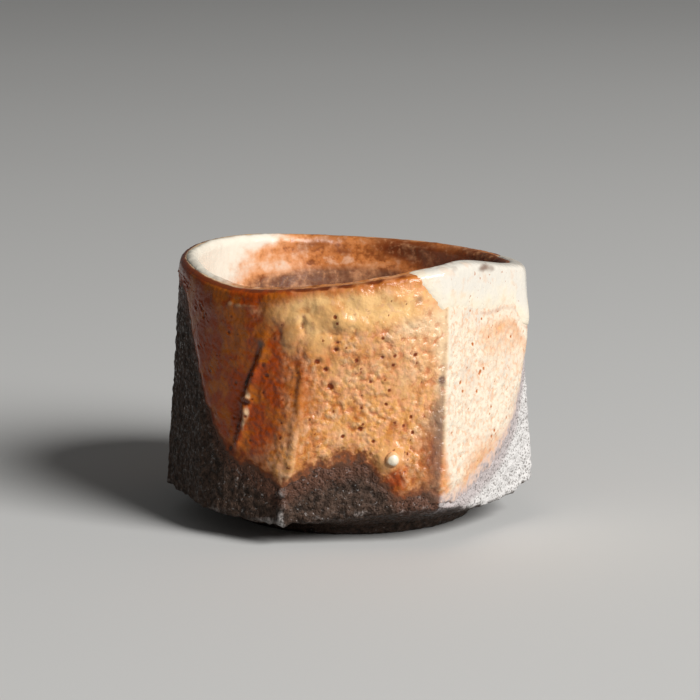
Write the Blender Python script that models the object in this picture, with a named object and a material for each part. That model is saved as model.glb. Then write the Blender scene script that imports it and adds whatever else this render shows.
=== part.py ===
"""Faceted sake cup.

A hand-built stoneware cup whose wall was cut into flat facets with a knife stands on a low foot ring.
A thick feldspar glaze coats it inside and out and stops above the foot, a whiter second pour covers one
corner of the lip, and one bead of glaze stands on the front.
Metres, +Z up. The origin lies on the ground under the middle of the cup, and the front faces -Y.
"""

import math

import bmesh
import bpy
from mathutils import Vector

# Clay body
LIP_HEIGHT = 0.0461
LIP_RADIUS = 0.0315
LIP_WALL = 0.0027
LIP_SWING = 0.0034
HEEL_HEIGHT = 0.0060
HEEL_RADIUS = 0.0345
HEEL_WALL = 0.0042
HEEL_SWING = 0.0016
FLOOR_THICKNESS = 0.0045
WELL_CORNER = 0.0085

# Foot ring
FOOT_HEIGHT = 0.0022
FOOT_RADIUS = 0.0226
FOOT_WALL = 0.0052
FOOT_FLARE = 0.0022

# Glaze coats
FIT_GAP = 0.0003
GLAZE_THICKNESS = 0.0008
GLAZE_EDGE_THICKNESS = 0.00035
LINER_THICKNESS = 0.0006
POUR_THICKNESS = 0.0007
POUR_EDGE_THICKNESS = 0.0004
BEAD_WIDTH = 0.0019
BEAD_DEPTH = 0.0011
BEAD_RISE = 0.0034
BEAD_ANGLE = 282.0

# How far round the lip's half circle each coat runs, in degrees from the outer wall
GLAZE_WRAP = 130.0
POUR_WRAP = 112.0

# The pour's two ends, as angles round the lip in degrees
POUR_START = 290.5
POUR_END = 384.0

# Ridges between the facets: (angle at the heel, angle at the lip), in degrees counterclockwise from +X.
# The facet after each ridge fades into the round wall between two shares of the wall's height.
RIDGES = (
    {"name": "right_back", "heel": 31.0, "lip": 29.0, "fade": (0.30, 0.85)},
    {"name": "back_right", "heel": 73.0, "lip": 70.0, "fade": (0.35, 0.90)},
    {"name": "back_left", "heel": 112.0, "lip": 114.0, "fade": (0.30, 0.85)},
    {"name": "left_back", "heel": 150.0, "lip": 152.0, "fade": (0.35, 0.90)},
    {"name": "left", "heel": 187.0, "lip": 184.0, "fade": (0.35, 0.90)},
    {"name": "left_front", "heel": 217.5, "lip": 212.0, "fade": (0.40, 0.90)},
    {"name": "fold", "heel": 225.5, "lip": 246.0, "fade": (0.45, 0.90)},
    {"name": "front_left", "heel": 248.5, "lip": 259.0, "fade": (0.35, 0.90)},
    {"name": "front_right", "heel": 298.0, "lip": 302.0, "fade": (1.20, 1.60)},
    {"name": "right", "heel": 350.0, "lip": 352.0, "fade": (0.35, 0.95)},
)

# Closed lines round the cup: (angle in degrees, value) in rising order.
# The lip's rise and fall, as a share of its swing
LIP_LINE = (
    (15, -0.12), (50, -0.05), (90, 0.15), (135, 0.60), (165, 0.56), (196, 0.42), (232, -0.20),
    (268, 0.28), (290, 0.76), (312, 1.00), (332, 0.62), (350, 0.16),
)
# The heel's rise and fall, as a share of its swing
HEEL_LINE = (
    (0, 1.0), (60, 0.4), (120, 0.0), (190, -0.2), (248, -1.0), (298, 0.5), (314, -0.4), (332, -0.7),
    (348, 0.6),
)
# The share of the wall's height that the first glaze leaves bare
GLAZE_LINE = (
    (12, 0.60), (30, 0.36), (55, 0.20), (80, 0.13), (105, 0.17), (130, 0.15), (152, 0.30), (170, 0.60),
    (187, 0.90), (200, 0.93), (207, 0.78), (215, 0.62), (221, 0.46), (229, 0.34), (242, 0.23),
    (248, 0.17), (254, 0.23), (266, 0.27), (278, 0.26), (285, 0.09), (291, 0.10), (299, 0.04),
    (316, 0.12), (329, 0.20), (336, 0.26), (342, 0.34), (346, 0.42), (351, 0.62), (358, 0.70),
)
# The share of the wall's height under the second pour's lower edge
POUR_LINE = (
    (24, 0.97), (290, 0.97), (296, 0.90), (301, 0.87), (320, 0.84), (330, 0.85), (336, 0.84),
    (342, 0.79), (347, 0.73), (352, 0.77), (358, 0.88),
)

# Mesh fineness
COLUMN_STEP = 6.0
LEAST_FACET_COLUMNS = 3
WALL_ROWS = 8
LIP_ROWS = 4
WELL_ROWS = 5
CORNER_ROWS = 4
POUR_ROWS = 4
BEAD_SEGMENTS = 14
BEAD_RINGS = 8
LINE_PASSES = 12
SHARP_ANGLE = math.radians(32)

# Finishes: linear colour, roughness
CLAY_FINISH = ((0.075, 0.058, 0.048), 0.9)
GLAZE_FINISH = ((0.56, 0.24, 0.08), 0.35)
LINER_FINISH = ((0.50, 0.20, 0.08), 0.3)
POUR_FINISH = ((0.84, 0.68, 0.48), 0.3)


def lerp(a, b, t):
    return a + (b - a) * t


def smoothstep(low, high, x):
    t = min(max((x - low) / (high - low), 0.0), 1.0)
    return t * t * (3 - 2 * t)


def around(line, angle):
    """Value of a closed line at an angle, on a smooth curve through its points."""
    count = len(line)

    def point(k):
        turn, index = divmod(k, count)
        return line[index][0] + 360 * turn, line[index][1]

    angle = (angle - line[0][0]) % 360 + line[0][0]
    k = max(i for i in range(count) if line[i][0] <= angle)
    (a0, v0), (a1, v1), (a2, v2), (a3, v3) = (point(k + step) for step in (-1, 0, 1, 2))
    span = a2 - a1
    t = (angle - a1) / span
    slope1 = (v2 - v0) / (a2 - a0) * span
    slope2 = (v3 - v1) / (a3 - a1) * span
    return (
        (2 * t**3 - 3 * t**2 + 1) * v1
        + (t**3 - 2 * t**2 + t) * slope1
        + (3 * t**2 - 2 * t**3) * v2
        + (t**3 - t**2) * slope2
    )


# The outer wall

def wall_share(height):
    """0 at the heel's level, 1 at the lip's."""
    return (height - HEEL_HEIGHT) / (LIP_HEIGHT - HEEL_HEIGHT)


def ridge_angle(index, share):
    turn, index = divmod(index, len(RIDGES))
    ridge = RIDGES[index]
    return lerp(ridge["heel"], ridge["lip"], share) + 360 * turn


def outer_radius(angle, height):
    """Radius of the clay's outer wall: a polygon with its corners on the ridges, rounder towards the lip."""
    share = wall_share(height)
    start = ridge_angle(0, share)
    angle = (angle - start) % 360 + start
    facet = max(i for i in range(len(RIDGES)) if ridge_angle(i, share) <= angle + 1e-9)
    left, right = ridge_angle(facet, share), ridge_angle(facet + 1, share)
    half = math.radians(right - left) / 2
    off_middle = math.radians(angle - (left + right) / 2)
    flatness = 1 - smoothstep(*RIDGES[facet]["fade"], share)
    cut = 1 - math.cos(half) / math.cos(off_middle)
    return lerp(HEEL_RADIUS, LIP_RADIUS, share) * (1 - flatness * cut)


def wall_columns():
    """Columns that run up the wall beside the ridges, as (facet, share of the facet's width)."""
    columns = []
    for facet in range(len(RIDGES)):
        width = ridge_angle(facet + 1, 0.5) - ridge_angle(facet, 0.5)
        count = max(LEAST_FACET_COLUMNS, round(width / COLUMN_STEP))
        columns += [(facet, k / count) for k in range(count)]
    return columns


def column_at(angle):
    """The column, on the mesh's own or between them, that stands at an angle on the heel."""
    facet = max(i for i in range(len(RIDGES)) if RIDGES[i]["heel"] <= angle)
    left, right = ridge_angle(facet, 0), ridge_angle(facet + 1, 0)
    return facet, (angle - left) / (right - left)


def column_angle(column, height):
    facet, across = column
    share = wall_share(height)
    return lerp(ridge_angle(facet, share), ridge_angle(facet + 1, share), across)


def lip_height(column):
    return LIP_HEIGHT + LIP_SWING * around(LIP_LINE, column_angle(column, LIP_HEIGHT))


def lip_centre_height(column):
    """Height of the middle of the lip's half circle."""
    return lip_height(column) - LIP_WALL / 2


def heel_height(column):
    return HEEL_HEIGHT + HEEL_SWING * around(HEEL_LINE, column_angle(column, HEEL_HEIGHT))


def line_height(line, column):
    """Height at which a column crosses a line given in shares of the wall."""
    low, high = heel_height(column), lip_centre_height(column)
    height = (low + high) / 2
    for _ in range(LINE_PASSES):
        height = lerp(low, high, around(line, column_angle(column, height)))
    return height


def polar(angle, radius, height):
    return Vector((radius * math.cos(math.radians(angle)), radius * math.sin(math.radians(angle)), height))


def wall_point(column, height, offset):
    angle = column_angle(column, height)
    return polar(angle, outer_radius(angle, height) + offset, height)


def lip_point(column, degrees, offset):
    """Point on the lip's half circle, from 0 on the outer wall to 180 on the inner wall."""
    height = lip_centre_height(column)
    angle = column_angle(column, height)
    size = LIP_WALL / 2 + offset
    turn = math.radians(degrees)
    centre = outer_radius(angle, height) - LIP_WALL / 2
    return polar(angle, centre + size * math.cos(turn), height + size * math.sin(turn))


# The well inside the cup

def floor_height():
    return HEEL_HEIGHT + FLOOR_THICKNESS


def well_radius(column, height):
    """Radius of the inner wall: round at the bottom, a constant wall inside the outer one at the lip."""
    lip_level = lip_centre_height(column)
    angle = column_angle(column, height)
    flat = min(
        HEEL_RADIUS * math.cos(math.radians(ridge_angle(k + 1, 0) - ridge_angle(k, 0)) / 2)
        for k in range(len(RIDGES))
    )
    bottom = flat - HEEL_WALL
    top = outer_radius(column_angle(column, lip_level), lip_level) - LIP_WALL
    rise = (height - floor_height()) / (lip_level - floor_height())
    return min(lerp(bottom, top, rise * rise), outer_radius(angle, height) - LIP_WALL)


def well_ring(columns, row, offset):
    """One level of the inner wall: WELL_ROWS straight rows below the lip, then the corner's arc to the floor."""
    ring = []
    corner_top = floor_height() + WELL_CORNER
    for column in columns:
        if row < WELL_ROWS:
            height = lerp(lip_centre_height(column), corner_top, row / WELL_ROWS)
            radius = well_radius(column, height) - offset
        else:
            turn = math.pi / 2 * (row - WELL_ROWS) / CORNER_ROWS
            size = WELL_CORNER - offset
            height = corner_top - size * math.sin(turn)
            radius = well_radius(column, corner_top) - WELL_CORNER + size * math.cos(turn)
        ring.append(polar(column_angle(column, height), radius, height))
    return ring


# Pieces

def material(name, finish):
    colour, roughness = finish
    made = bpy.data.materials.new(name)
    made.use_nodes = True
    shader = made.node_tree.nodes["Principled BSDF"]
    shader.inputs["Base Color"].default_value = (*colour, 1)
    shader.inputs["Roughness"].default_value = roughness
    return made


def add_piece(name, mesh, finish, parent):
    piece = bpy.data.objects.new(name, mesh)
    bpy.context.scene.collection.objects.link(piece)
    piece.parent = parent
    mesh.materials.append(finish)
    mesh.shade_smooth()
    mesh.set_sharp_from_angle(angle=SHARP_ANGLE)
    return piece


def loft(name, loops, finish, parent, closed):
    """Joins loops of equally many points into one solid: end to end if closed, and else with a cap on each end."""
    shape = bmesh.new()
    rows = [[shape.verts.new(point) for point in loop] for loop in loops]
    pairs = list(zip(rows, rows[1:]))
    if closed:
        pairs.append((rows[-1], rows[0]))
    else:
        shape.faces.new(rows[0])
        shape.faces.new(rows[-1])
    for lower, upper in pairs:
        for k in range(len(lower)):
            after = (k + 1) % len(lower)
            shape.faces.new((lower[k], lower[after], upper[after], upper[k]))
    bmesh.ops.recalc_face_normals(shape, faces=shape.faces)
    mesh = bpy.data.meshes.new(name)
    shape.to_mesh(mesh)
    shape.free()
    return add_piece(name, mesh, finish, parent)


def foot_top_radius():
    return FOOT_RADIUS + FOOT_FLARE


def make_clay_body(columns, finish, parent):
    """The faceted wall, lip, well and floor, with a flat seat for the foot ring underneath."""
    seat = FOOT_HEIGHT + FIT_GAP
    loops = [[polar(column_angle(c, HEEL_HEIGHT), foot_top_radius(), seat) for c in columns]]
    for row in range(WALL_ROWS):
        loops.append(
            [
                wall_point(c, lerp(heel_height(c), lip_centre_height(c), row / WALL_ROWS), 0)
                for c in columns
            ]
        )
    for row in range(LIP_ROWS):
        loops.append([lip_point(c, 180 * row / LIP_ROWS, 0) for c in columns])
    for row in range(WELL_ROWS + CORNER_ROWS + 1):
        loops.append(well_ring(columns, row, 0))
    return loft("clay_body", loops, finish, parent, closed=False)


def make_foot_ring(columns, finish, parent):
    profile = (
        (FOOT_RADIUS, 0),
        (foot_top_radius(), FOOT_HEIGHT),
        (FOOT_RADIUS - FOOT_WALL, FOOT_HEIGHT),
        (FOOT_RADIUS - FOOT_WALL, 0),
    )
    loops = [[polar(column_angle(c, HEEL_HEIGHT), r, z) for c in columns] for r, z in profile]
    return loft("foot_ring", loops, finish, parent, closed=True)


def coat_rows(column, line, rows, wrap, inner, edge_thickness, thickness):
    """One column's closed section through a coat: up its outside, over the lip, and back down its underside."""
    low, high = line_height(line, column), lip_centre_height(column)
    heights = [lerp(low, high, row / rows) for row in range(rows)]
    turns = [wrap * row / LIP_ROWS for row in range(LIP_ROWS + 1)]
    thick = [edge_thickness if row == 0 else thickness for row in range(rows)]
    outside = [wall_point(column, h, inner + t) for h, t in zip(heights, thick)]
    outside += [lip_point(column, turn, inner + thickness) for turn in turns]
    underside = [wall_point(column, h, inner) for h in heights]
    underside += [lip_point(column, turn, inner) for turn in turns]
    return outside + underside[::-1]


def make_outer_glaze(columns, finish, parent):
    sections = [
        coat_rows(c, GLAZE_LINE, WALL_ROWS, GLAZE_WRAP, FIT_GAP, GLAZE_EDGE_THICKNESS, GLAZE_THICKNESS)
        for c in columns
    ]
    return loft("outer_glaze", sections, finish, parent, closed=True)


def make_inner_glaze(columns, finish, parent):
    """The liner, from just under the outer coat's edge inside the lip to the middle of the floor."""
    outside, inside = FIT_GAP, FIT_GAP + LINER_THICKNESS
    start = GLAZE_WRAP + math.degrees(FIT_GAP / (LIP_WALL / 2 + FIT_GAP))
    lip_rows = LIP_ROWS // 2
    turns = [lerp(start, 180, row / lip_rows) for row in range(lip_rows)]
    loops = []
    for offset, order in ((outside, -1), (inside, 1)):
        side = [[lip_point(c, turn, offset) for c in columns] for turn in turns]
        side += [well_ring(columns, row, offset) for row in range(WELL_ROWS + CORNER_ROWS + 1)]
        loops += side[::order]
    return loft("inner_glaze", loops, finish, parent, closed=False)


def make_lip_pour(columns, finish, parent):
    """The whiter second coat over one corner of the lip, with a run down its right side."""
    inner = FIT_GAP + GLAZE_THICKNESS + FIT_GAP
    covered = []
    for column in columns:
        angle = column_angle(column, LIP_HEIGHT)
        angle += 360 if angle < POUR_END - 360 else 0
        if POUR_START <= angle <= POUR_END:
            covered.append((angle, column))
    covered = [column for _, column in sorted(covered)]
    sections = []
    for column in covered:
        thickness = POUR_EDGE_THICKNESS if column in (covered[0], covered[-1]) else POUR_THICKNESS
        sections.append(
            coat_rows(column, POUR_LINE, POUR_ROWS, POUR_WRAP, inner, POUR_EDGE_THICKNESS, thickness)
        )
    return loft("lip_pour", sections, finish, parent, closed=False)


def make_glaze_bead(finish, parent):
    """A flattened drop on the front facet, just above the glaze's lower edge."""
    column = column_at(BEAD_ANGLE)
    height = line_height(GLAZE_LINE, column) + BEAD_WIDTH / 2 + BEAD_RISE
    seat = FIT_GAP + GLAZE_THICKNESS + FIT_GAP
    here = wall_point(column, height, seat)
    above = wall_point(column, height + BEAD_WIDTH, seat)
    beside = wall_point(column_at(BEAD_ANGLE - 1), height, seat)
    normal = (here - beside).cross(above - here).normalized()

    shape = bmesh.new()
    bmesh.ops.create_uvsphere(
        shape, u_segments=BEAD_SEGMENTS, v_segments=BEAD_RINGS, radius=BEAD_WIDTH / 2
    )
    bmesh.ops.scale(shape, verts=shape.verts, vec=(1, 1, BEAD_DEPTH / BEAD_WIDTH))
    mesh = bpy.data.meshes.new("glaze_bead")
    shape.to_mesh(mesh)
    shape.free()
    bead = add_piece("glaze_bead", mesh, finish, parent)
    bead.location = here + normal * (BEAD_DEPTH / 2)
    bead.rotation_euler = normal.to_track_quat("Z", "Y").to_euler()
    return bead


def main():
    for old in list(bpy.data.objects):
        bpy.data.objects.remove(old)
    cup = bpy.data.objects.new("sake_cup", None)
    bpy.context.scene.collection.objects.link(cup)
    columns = wall_columns()
    clay = material("stoneware", CLAY_FINISH)
    glaze = material("feldspar_glaze", GLAZE_FINISH)
    liner = material("liner_glaze", LINER_FINISH)
    white = material("white_glaze", POUR_FINISH)
    make_clay_body(columns, clay, cup)
    make_foot_ring(columns, clay, cup)
    make_outer_glaze(columns, glaze, cup)
    make_inner_glaze(columns, liner, cup)
    make_lip_pour(columns, white, cup)
    make_glaze_bead(white, cup)


main()
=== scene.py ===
"""Looks of a faceted sake cup: its clay, its glazes and a plain stage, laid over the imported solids."""

import math

import bpy
import numpy as np
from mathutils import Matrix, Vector, noise
from mathutils.bvhtree import BVHTree


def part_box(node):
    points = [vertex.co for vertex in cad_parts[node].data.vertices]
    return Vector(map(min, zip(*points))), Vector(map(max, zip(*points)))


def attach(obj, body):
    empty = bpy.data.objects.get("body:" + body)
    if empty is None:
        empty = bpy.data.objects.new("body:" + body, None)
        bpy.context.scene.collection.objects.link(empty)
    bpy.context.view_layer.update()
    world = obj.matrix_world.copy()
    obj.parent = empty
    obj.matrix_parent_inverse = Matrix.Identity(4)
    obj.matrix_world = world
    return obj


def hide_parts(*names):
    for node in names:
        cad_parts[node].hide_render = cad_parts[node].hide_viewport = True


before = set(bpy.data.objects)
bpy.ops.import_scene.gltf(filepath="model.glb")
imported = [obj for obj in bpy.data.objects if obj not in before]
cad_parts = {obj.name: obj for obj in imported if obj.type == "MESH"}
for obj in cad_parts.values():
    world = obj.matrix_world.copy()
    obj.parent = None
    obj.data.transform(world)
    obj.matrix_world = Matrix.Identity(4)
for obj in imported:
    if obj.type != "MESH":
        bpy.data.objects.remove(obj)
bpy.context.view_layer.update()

bl_info = {
    "name": "Faceted sake cup",
    "version": (1, 0, 0),
    "blender": (4, 5, 0),
    "location": "3D View > Sidebar > Sake cup",
    "description": "Models the clay, the glazes and the stage of a faceted sake cup",
    "category": "Object",
}

MM = 0.001

# Marks on the cup are placed by an angle and a height. Angles are degrees anticlockwise from the
# right of the cup. Heights and sizes in these lists are millimetres.
FRONT = 270.0

# Lines up the wall, from their lower end to their upper end: (angle, height).
FOLD = ((231.0, 16.7), (232.7, 19.3), (234.3, 22.7), (234.8, 26.0), (236.0, 28.8), (238.5, 32.3),
        (241.1, 36.0))
KEEL = ((249.1, 4.6), (249.3, 8.9), (250.1, 11.6), (251.8, 18.8), (253.4, 25.2), (254.5, 31.4))
CORNER = ((297.4, 8.0), (298.4, 14.0), (299.2, 20.0), (300.0, 28.0), (301.0, 36.0), (301.8, 43.0))

# Soft drops and rolls of thick glaze: (angle, height, half width, half height, rise).
DROPS = (
    (251.8, 39.0, 1.6, 2.2, 0.62),
    (249.6, 42.2, 2.2, 1.5, 0.30),
    (260.4, 36.6, 2.0, 2.4, 0.35),
    (262.5, 41.8, 2.8, 2.2, 0.50),
    (268.4, 40.9, 1.4, 1.1, 0.60),
    (274.5, 40.6, 2.2, 1.6, 0.30),
    (283.5, 41.2, 2.6, 1.6, 0.25),
    (290.5, 42.0, 2.2, 1.6, 0.30),
    (282.3, 16.0, 2.3, 2.4, 0.50),
    (245.6, 41.6, 2.0, 1.7, 0.30),
    (222.0, 42.0, 3.0, 1.6, 0.20),
    (228.7, 43.0, 0.7, 0.6, 0.18),
    (232.3, 42.8, 0.9, 0.5, 0.18),
    (236.6, 43.0, 1.4, 0.5, 0.18),
    (64.0, 39.0, 2.2, 2.6, 0.45),
    (71.0, 40.5, 2.6, 1.8, 0.35),
    (118.0, 38.5, 2.0, 2.8, 0.45),
    (141.0, 40.5, 3.0, 1.8, 0.35),
)

# Open pits in the glaze: (angle, height, radius, depth).
PITS = (
    (259.7, 34.0, 0.72, 0.50), (262.2, 32.6, 0.50, 0.40), (263.7, 29.5, 0.78, 0.55),
    (265.6, 36.2, 0.52, 0.40), (271.9, 34.2, 0.48, 0.35), (276.4, 30.3, 0.45, 0.35),
    (273.6, 25.5, 0.45, 0.35), (273.3, 21.7, 0.62, 0.45), (274.1, 22.5, 0.45, 0.40),
    (267.4, 20.3, 0.45, 0.35), (281.7, 26.1, 0.45, 0.35), (282.6, 28.7, 0.42, 0.32),
    (280.1, 34.8, 0.45, 0.35), (284.0, 34.9, 0.42, 0.32), (290.8, 34.9, 0.52, 0.40),
    (290.4, 20.7, 0.45, 0.35), (289.8, 23.6, 0.42, 0.32), (280.1, 38.1, 0.45, 0.35),
    (284.7, 22.6, 0.40, 0.30), (277.5, 19.3, 0.42, 0.32), (242.3, 32.7, 0.42, 0.35),
    (243.4, 30.9, 0.40, 0.32), (238.6, 30.9, 0.45, 0.35), (231.4, 28.8, 0.40, 0.30),
    (228.2, 37.8, 0.40, 0.30), (236.2, 25.6, 0.75, 1.10), (236.5, 23.2, 0.32, 0.40),
    (233.9, 20.4, 0.34, 0.40), (307.6, 28.8, 0.48, 0.38), (308.6, 27.1, 0.42, 0.32),
    (317.5, 26.3, 0.45, 0.35), (319.8, 29.6, 0.45, 0.35), (336.1, 19.8, 0.42, 0.32),
    (325.6, 17.3, 0.45, 0.35), (327.6, 18.2, 0.40, 0.30), (316.1, 35.0, 0.48, 0.38),
    (48.0, 31.0, 0.60, 0.45), (86.0, 25.0, 0.65, 0.45), (95.0, 33.0, 0.50, 0.40),
    (133.0, 28.0, 0.60, 0.45),
)

# Creases between rolls of thick glaze: (angle, height) of both ends, half width, depth.
CREASES = (
    (254.6, 41.6, 256.0, 39.0, 0.42, 0.34),
    (263.2, 39.0, 267.2, 38.6, 0.42, 0.34),
    (67.0, 39.5, 69.0, 36.5, 0.50, 0.28),
    (121.0, 40.5, 122.5, 36.8, 0.50, 0.28),
)

# Width over which the outer glaze thins and changes colour to its lower edge: (angle, width).
EDGE_FADE = ((60, 3.6), (120, 4.0), (160, 3.0), (178, 3.4), (204, 3.6), (214, 5.0), (228, 6.0),
             (240, 6.0), (262, 6.0), (270, 7.5), (280, 7.0), (288, 5.0), (300, 6.0), (312, 8.0),
             (330, 9.0), (345, 8.0), (358, 4.0))

# How far the outer glaze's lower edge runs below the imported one: (angle, distance).
EDGE_SHIFT = ((196, 0.0), (212, 1.4), (230, 1.2), (244, 0.0), (272, 0.0), (281, 1.8), (286, 0.8),
              (292, 0.0), (312, 0.0), (322, -1.2), (340, -0.8), (352, 0.0))

# How thick the outer glaze lies: (angle, share of its full thickness).
GLAZE_COVER = ((160, 0.9), (178, 0.22), (206, 0.22), (224, 0.65), (245, 1.0), (300, 1.0))

# How dark the lip is burnt: (angle, share).
LIP_BURN = ((30, 0.8), (150, 0.8), (190, 1.0), (240, 0.95), (256, 0.75), (290, 0.70), (300, 0.60))

# How pale the inside of the lip is: (angle, share). Highest on the left, whose inner side faces the key
# light, so partly painted light.
LIP_CREAM = ((20, 0.1), (100, 0.3), (130, 0.9), (215, 1.0), (235, 0.5), (260, 0.2), (300, 0.2))

# How strongly the outer glaze is pebbled: (angle, share).
PEBBLED = ((30, 0.7), (100, 0.6), (165, 0.5), (180, 0.15), (215, 0.18), (236, 0.35), (252, 0.70),
           (258, 1.0), (298, 1.0), (304, 0.8), (350, 0.7))

# Lower border of the white pour, past 360 behind the right of the cup: (angle, height).
POUR_EDGE = ((287.5, 52.5), (290.0, 49.0), (292.5, 47.0), (295.5, 44.8), (300.2, 42.1), (304.0, 41.6),
             (314.0, 40.6), (326.0, 39.8), (338.0, 40.0), (345.0, 39.4), (348.0, 36.2), (352.5, 34.8),
             (357.0, 36.0), (360.0, 39.2), (368.0, 40.4), (376.0, 41.8), (381.0, 45.0), (385.0, 52.5))

# Smoke on the white pour: (angle, height, half width, half height, strength).
POUR_SMOKE = (
    (325.0, 47.9, 2.6, 0.6, 1.00),
    (331.0, 47.3, 1.8, 0.6, 0.70),
    (307.0, 48.8, 1.8, 0.7, 0.62),
)

# Patches of colour on the outer glaze: (angle, height, half width, half height, strength).
CREAM_PATCHES = (
    (291.0, 41.5, 6.0, 4.5, 0.55),
    # The next three lie on drops and paint them paler: partly thick glaze, partly painted highlight.
    (251.9, 38.6, 1.3, 1.7, 0.50),
    (260.4, 36.4, 1.6, 2.2, 0.22),
    (268.4, 40.9, 1.2, 0.9, 0.60),
    (228.7, 43.0, 0.8, 0.5, 0.50),
    (232.3, 42.8, 0.9, 0.4, 0.45),
    (236.6, 43.0, 1.6, 0.4, 0.45),
    (237.0, 24.0, 0.6, 1.3, 0.70),
    (237.6, 26.9, 0.5, 0.6, 0.60),
    (236.6, 27.8, 0.4, 1.6, 0.40),
    (235.6, 21.8, 0.5, 1.2, 0.60),
    (267.0, 32.0, 5.0, 6.0, 0.30),
    (284.0, 33.0, 7.0, 8.0, 0.30),
    # Painted highlight: a pale strip along the lit right side of the front right ridge.
    (302.8, 26.0, 2.0, 22.0, 1.00),
    (310.0, 37.0, 8.0, 6.0, 0.50),
    (338.0, 35.0, 9.0, 6.0, 0.18),
    (318.0, 25.0, 11.0, 11.0, 0.75),
    (308.0, 15.0, 4.0, 8.0, 0.45),
    (347.0, 28.0, 7.0, 9.0, 0.55),
    (333.0, 21.0, 8.0, 6.0, 0.50),
    (282.3, 16.2, 2.6, 2.8, 0.50),
    (30.0, 38.0, 12.0, 6.0, 0.55),
    (70.0, 36.0, 11.0, 8.0, 0.55),
    (120.0, 36.0, 12.0, 7.0, 0.50),
)
GOLD_PATCHES = (
    (260.0, 43.0, 7.5, 4.2, 1.00),
    (273.0, 43.0, 8.0, 3.0, 0.80),
    (286.0, 44.0, 7.0, 2.6, 0.60),
    (262.0, 38.0, 3.0, 2.0, 0.40),
    (251.0, 36.5, 3.0, 3.0, 0.45),
    (66.0, 41.0, 14.0, 4.0, 0.80),
    (128.0, 41.0, 14.0, 4.0, 0.80),
)
AMBER_PATCHES = (
    (200.0, 36.0, 14.0, 16.0, 1.10),
    (222.0, 30.0, 11.0, 16.0, 1.10),
    (240.0, 26.0, 7.0, 12.0, 0.85),
    (246.0, 38.0, 5.0, 4.0, 0.50),
    (256.0, 33.0, 2.4, 4.0, 0.30),
    (258.0, 25.0, 3.0, 8.0, 0.28),
    (272.0, 37.0, 5.0, 3.0, 0.25),
    (296.0, 16.0, 3.0, 9.0, 0.60),
    (285.0, 12.0, 2.6, 4.0, 0.80),
    (20.0, 30.0, 10.0, 8.0, 0.30),
    (95.0, 24.0, 14.0, 7.0, 0.70),
    (160.0, 36.0, 12.0, 12.0, 0.90),
)
RUST_PATCHES = (
    (212.0, 40.0, 8.0, 5.0, 0.30),
    (232.0, 34.0, 4.0, 7.0, 0.25),
    (249.0, 37.5, 2.6, 1.6, 0.12),
    (285.0, 12.0, 2.0, 3.0, 0.45),
    (292.0, 20.0, 0.9, 6.0, 0.50),
    (290.5, 13.0, 0.8, 4.0, 0.45),
    (50.0, 24.0, 9.0, 6.0, 0.30),
    (100.0, 20.0, 12.0, 5.0, 0.30),
    (150.0, 32.0, 8.0, 8.0, 0.20),
)
SMOKE_PATCHES = (
    (241.5, 36.4, 0.9, 0.9, 0.90),
    (299.4, 30.0, 0.5, 0.6, 0.90),
    (292.2, 44.6, 1.0, 1.2, 0.65),
    (281.3, 38.4, 0.9, 1.1, 0.45),
)

# Smoke stain along the left of the front right ridge: (height, width, strength).
CORNER_SMOKE = ((8.0, 8.0, 0.75), (20.0, 5.0, 0.85), (26.0, 3.2, 0.85),
                (30.5, 1.5, 0.60), (43.0, 1.0, 0.45))

# Patches of colour on the glaze in the well: (angle, height, half width, half height, strength).
# The cream patches, most of them on the left wall of the well, which the key light falls on, are partly
# painted light.
WELL_CREAM = (
    (172.0, 44.0, 15.0, 9.0, 1.10),
    (206.0, 48.0, 17.0, 2.6, 1.10),
    (228.0, 47.6, 9.0, 1.6, 0.60),
    (146.0, 46.6, 9.0, 2.2, 0.60),
    (126.0, 47.4, 8.0, 1.3, 0.75),
    (150.0, 42.0, 9.0, 3.0, 0.35),
    (118.0, 42.4, 6.0, 1.6, 0.30),
    (78.0, 41.4, 5.0, 1.3, 0.28),
    (46.0, 47.0, 8.0, 0.9, 0.50),
    (240.0, 30.0, 12.0, 8.0, 0.40),
)
# The brown patches on the right wall of the well, which lies in shadow, are partly painted shade.
WELL_BROWN = (
    (108.0, 45.4, 6.5, 0.9, 0.55),
    (93.0, 44.0, 2.6, 1.0, 0.70),
    (90.0, 46.6, 12.0, 0.9, 0.30),
    (69.0, 44.6, 6.0, 1.5, 1.20),
    (55.0, 42.4, 7.0, 2.0, 0.70),
    (36.0, 43.0, 9.0, 4.0, 0.60),
    (12.0, 41.0, 14.0, 8.0, 0.80),
    (350.0, 40.0, 16.0, 9.0, 0.60),
)
WELL_SMOKE = (
    (105.0, 38.4, 18.0, 2.6, 1.20),
    (78.0, 39.0, 9.0, 1.8, 0.70),
    (100.0, 33.0, 26.0, 5.0, 0.60),
)


def linear(code):
    """Linear colour of an sRGB hex value."""
    shares = [int(code[k:k + 2], 16) / 255 for k in (0, 2, 4)]
    return tuple(s / 12.92 if s <= 0.04045 else ((s + 0.055) / 1.055) ** 2.4 for s in shares)


def length(name, description, default):
    """A property for a size in metres."""
    return bpy.props.FloatProperty(
        name=name, description=description, default=default, unit="LENGTH", precision=5)


def bearing(name, description, degrees):
    """A property for an angle, given in degrees."""
    return bpy.props.FloatProperty(
        name=name, description=description, default=math.radians(degrees), subtype="ANGLE")


def colour(name, description, code):
    """A property for a colour, given as an sRGB hex value."""
    return bpy.props.FloatVectorProperty(
        name=name, description=description, default=linear(code), subtype="COLOR", min=0.0, max=1.0)


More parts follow.
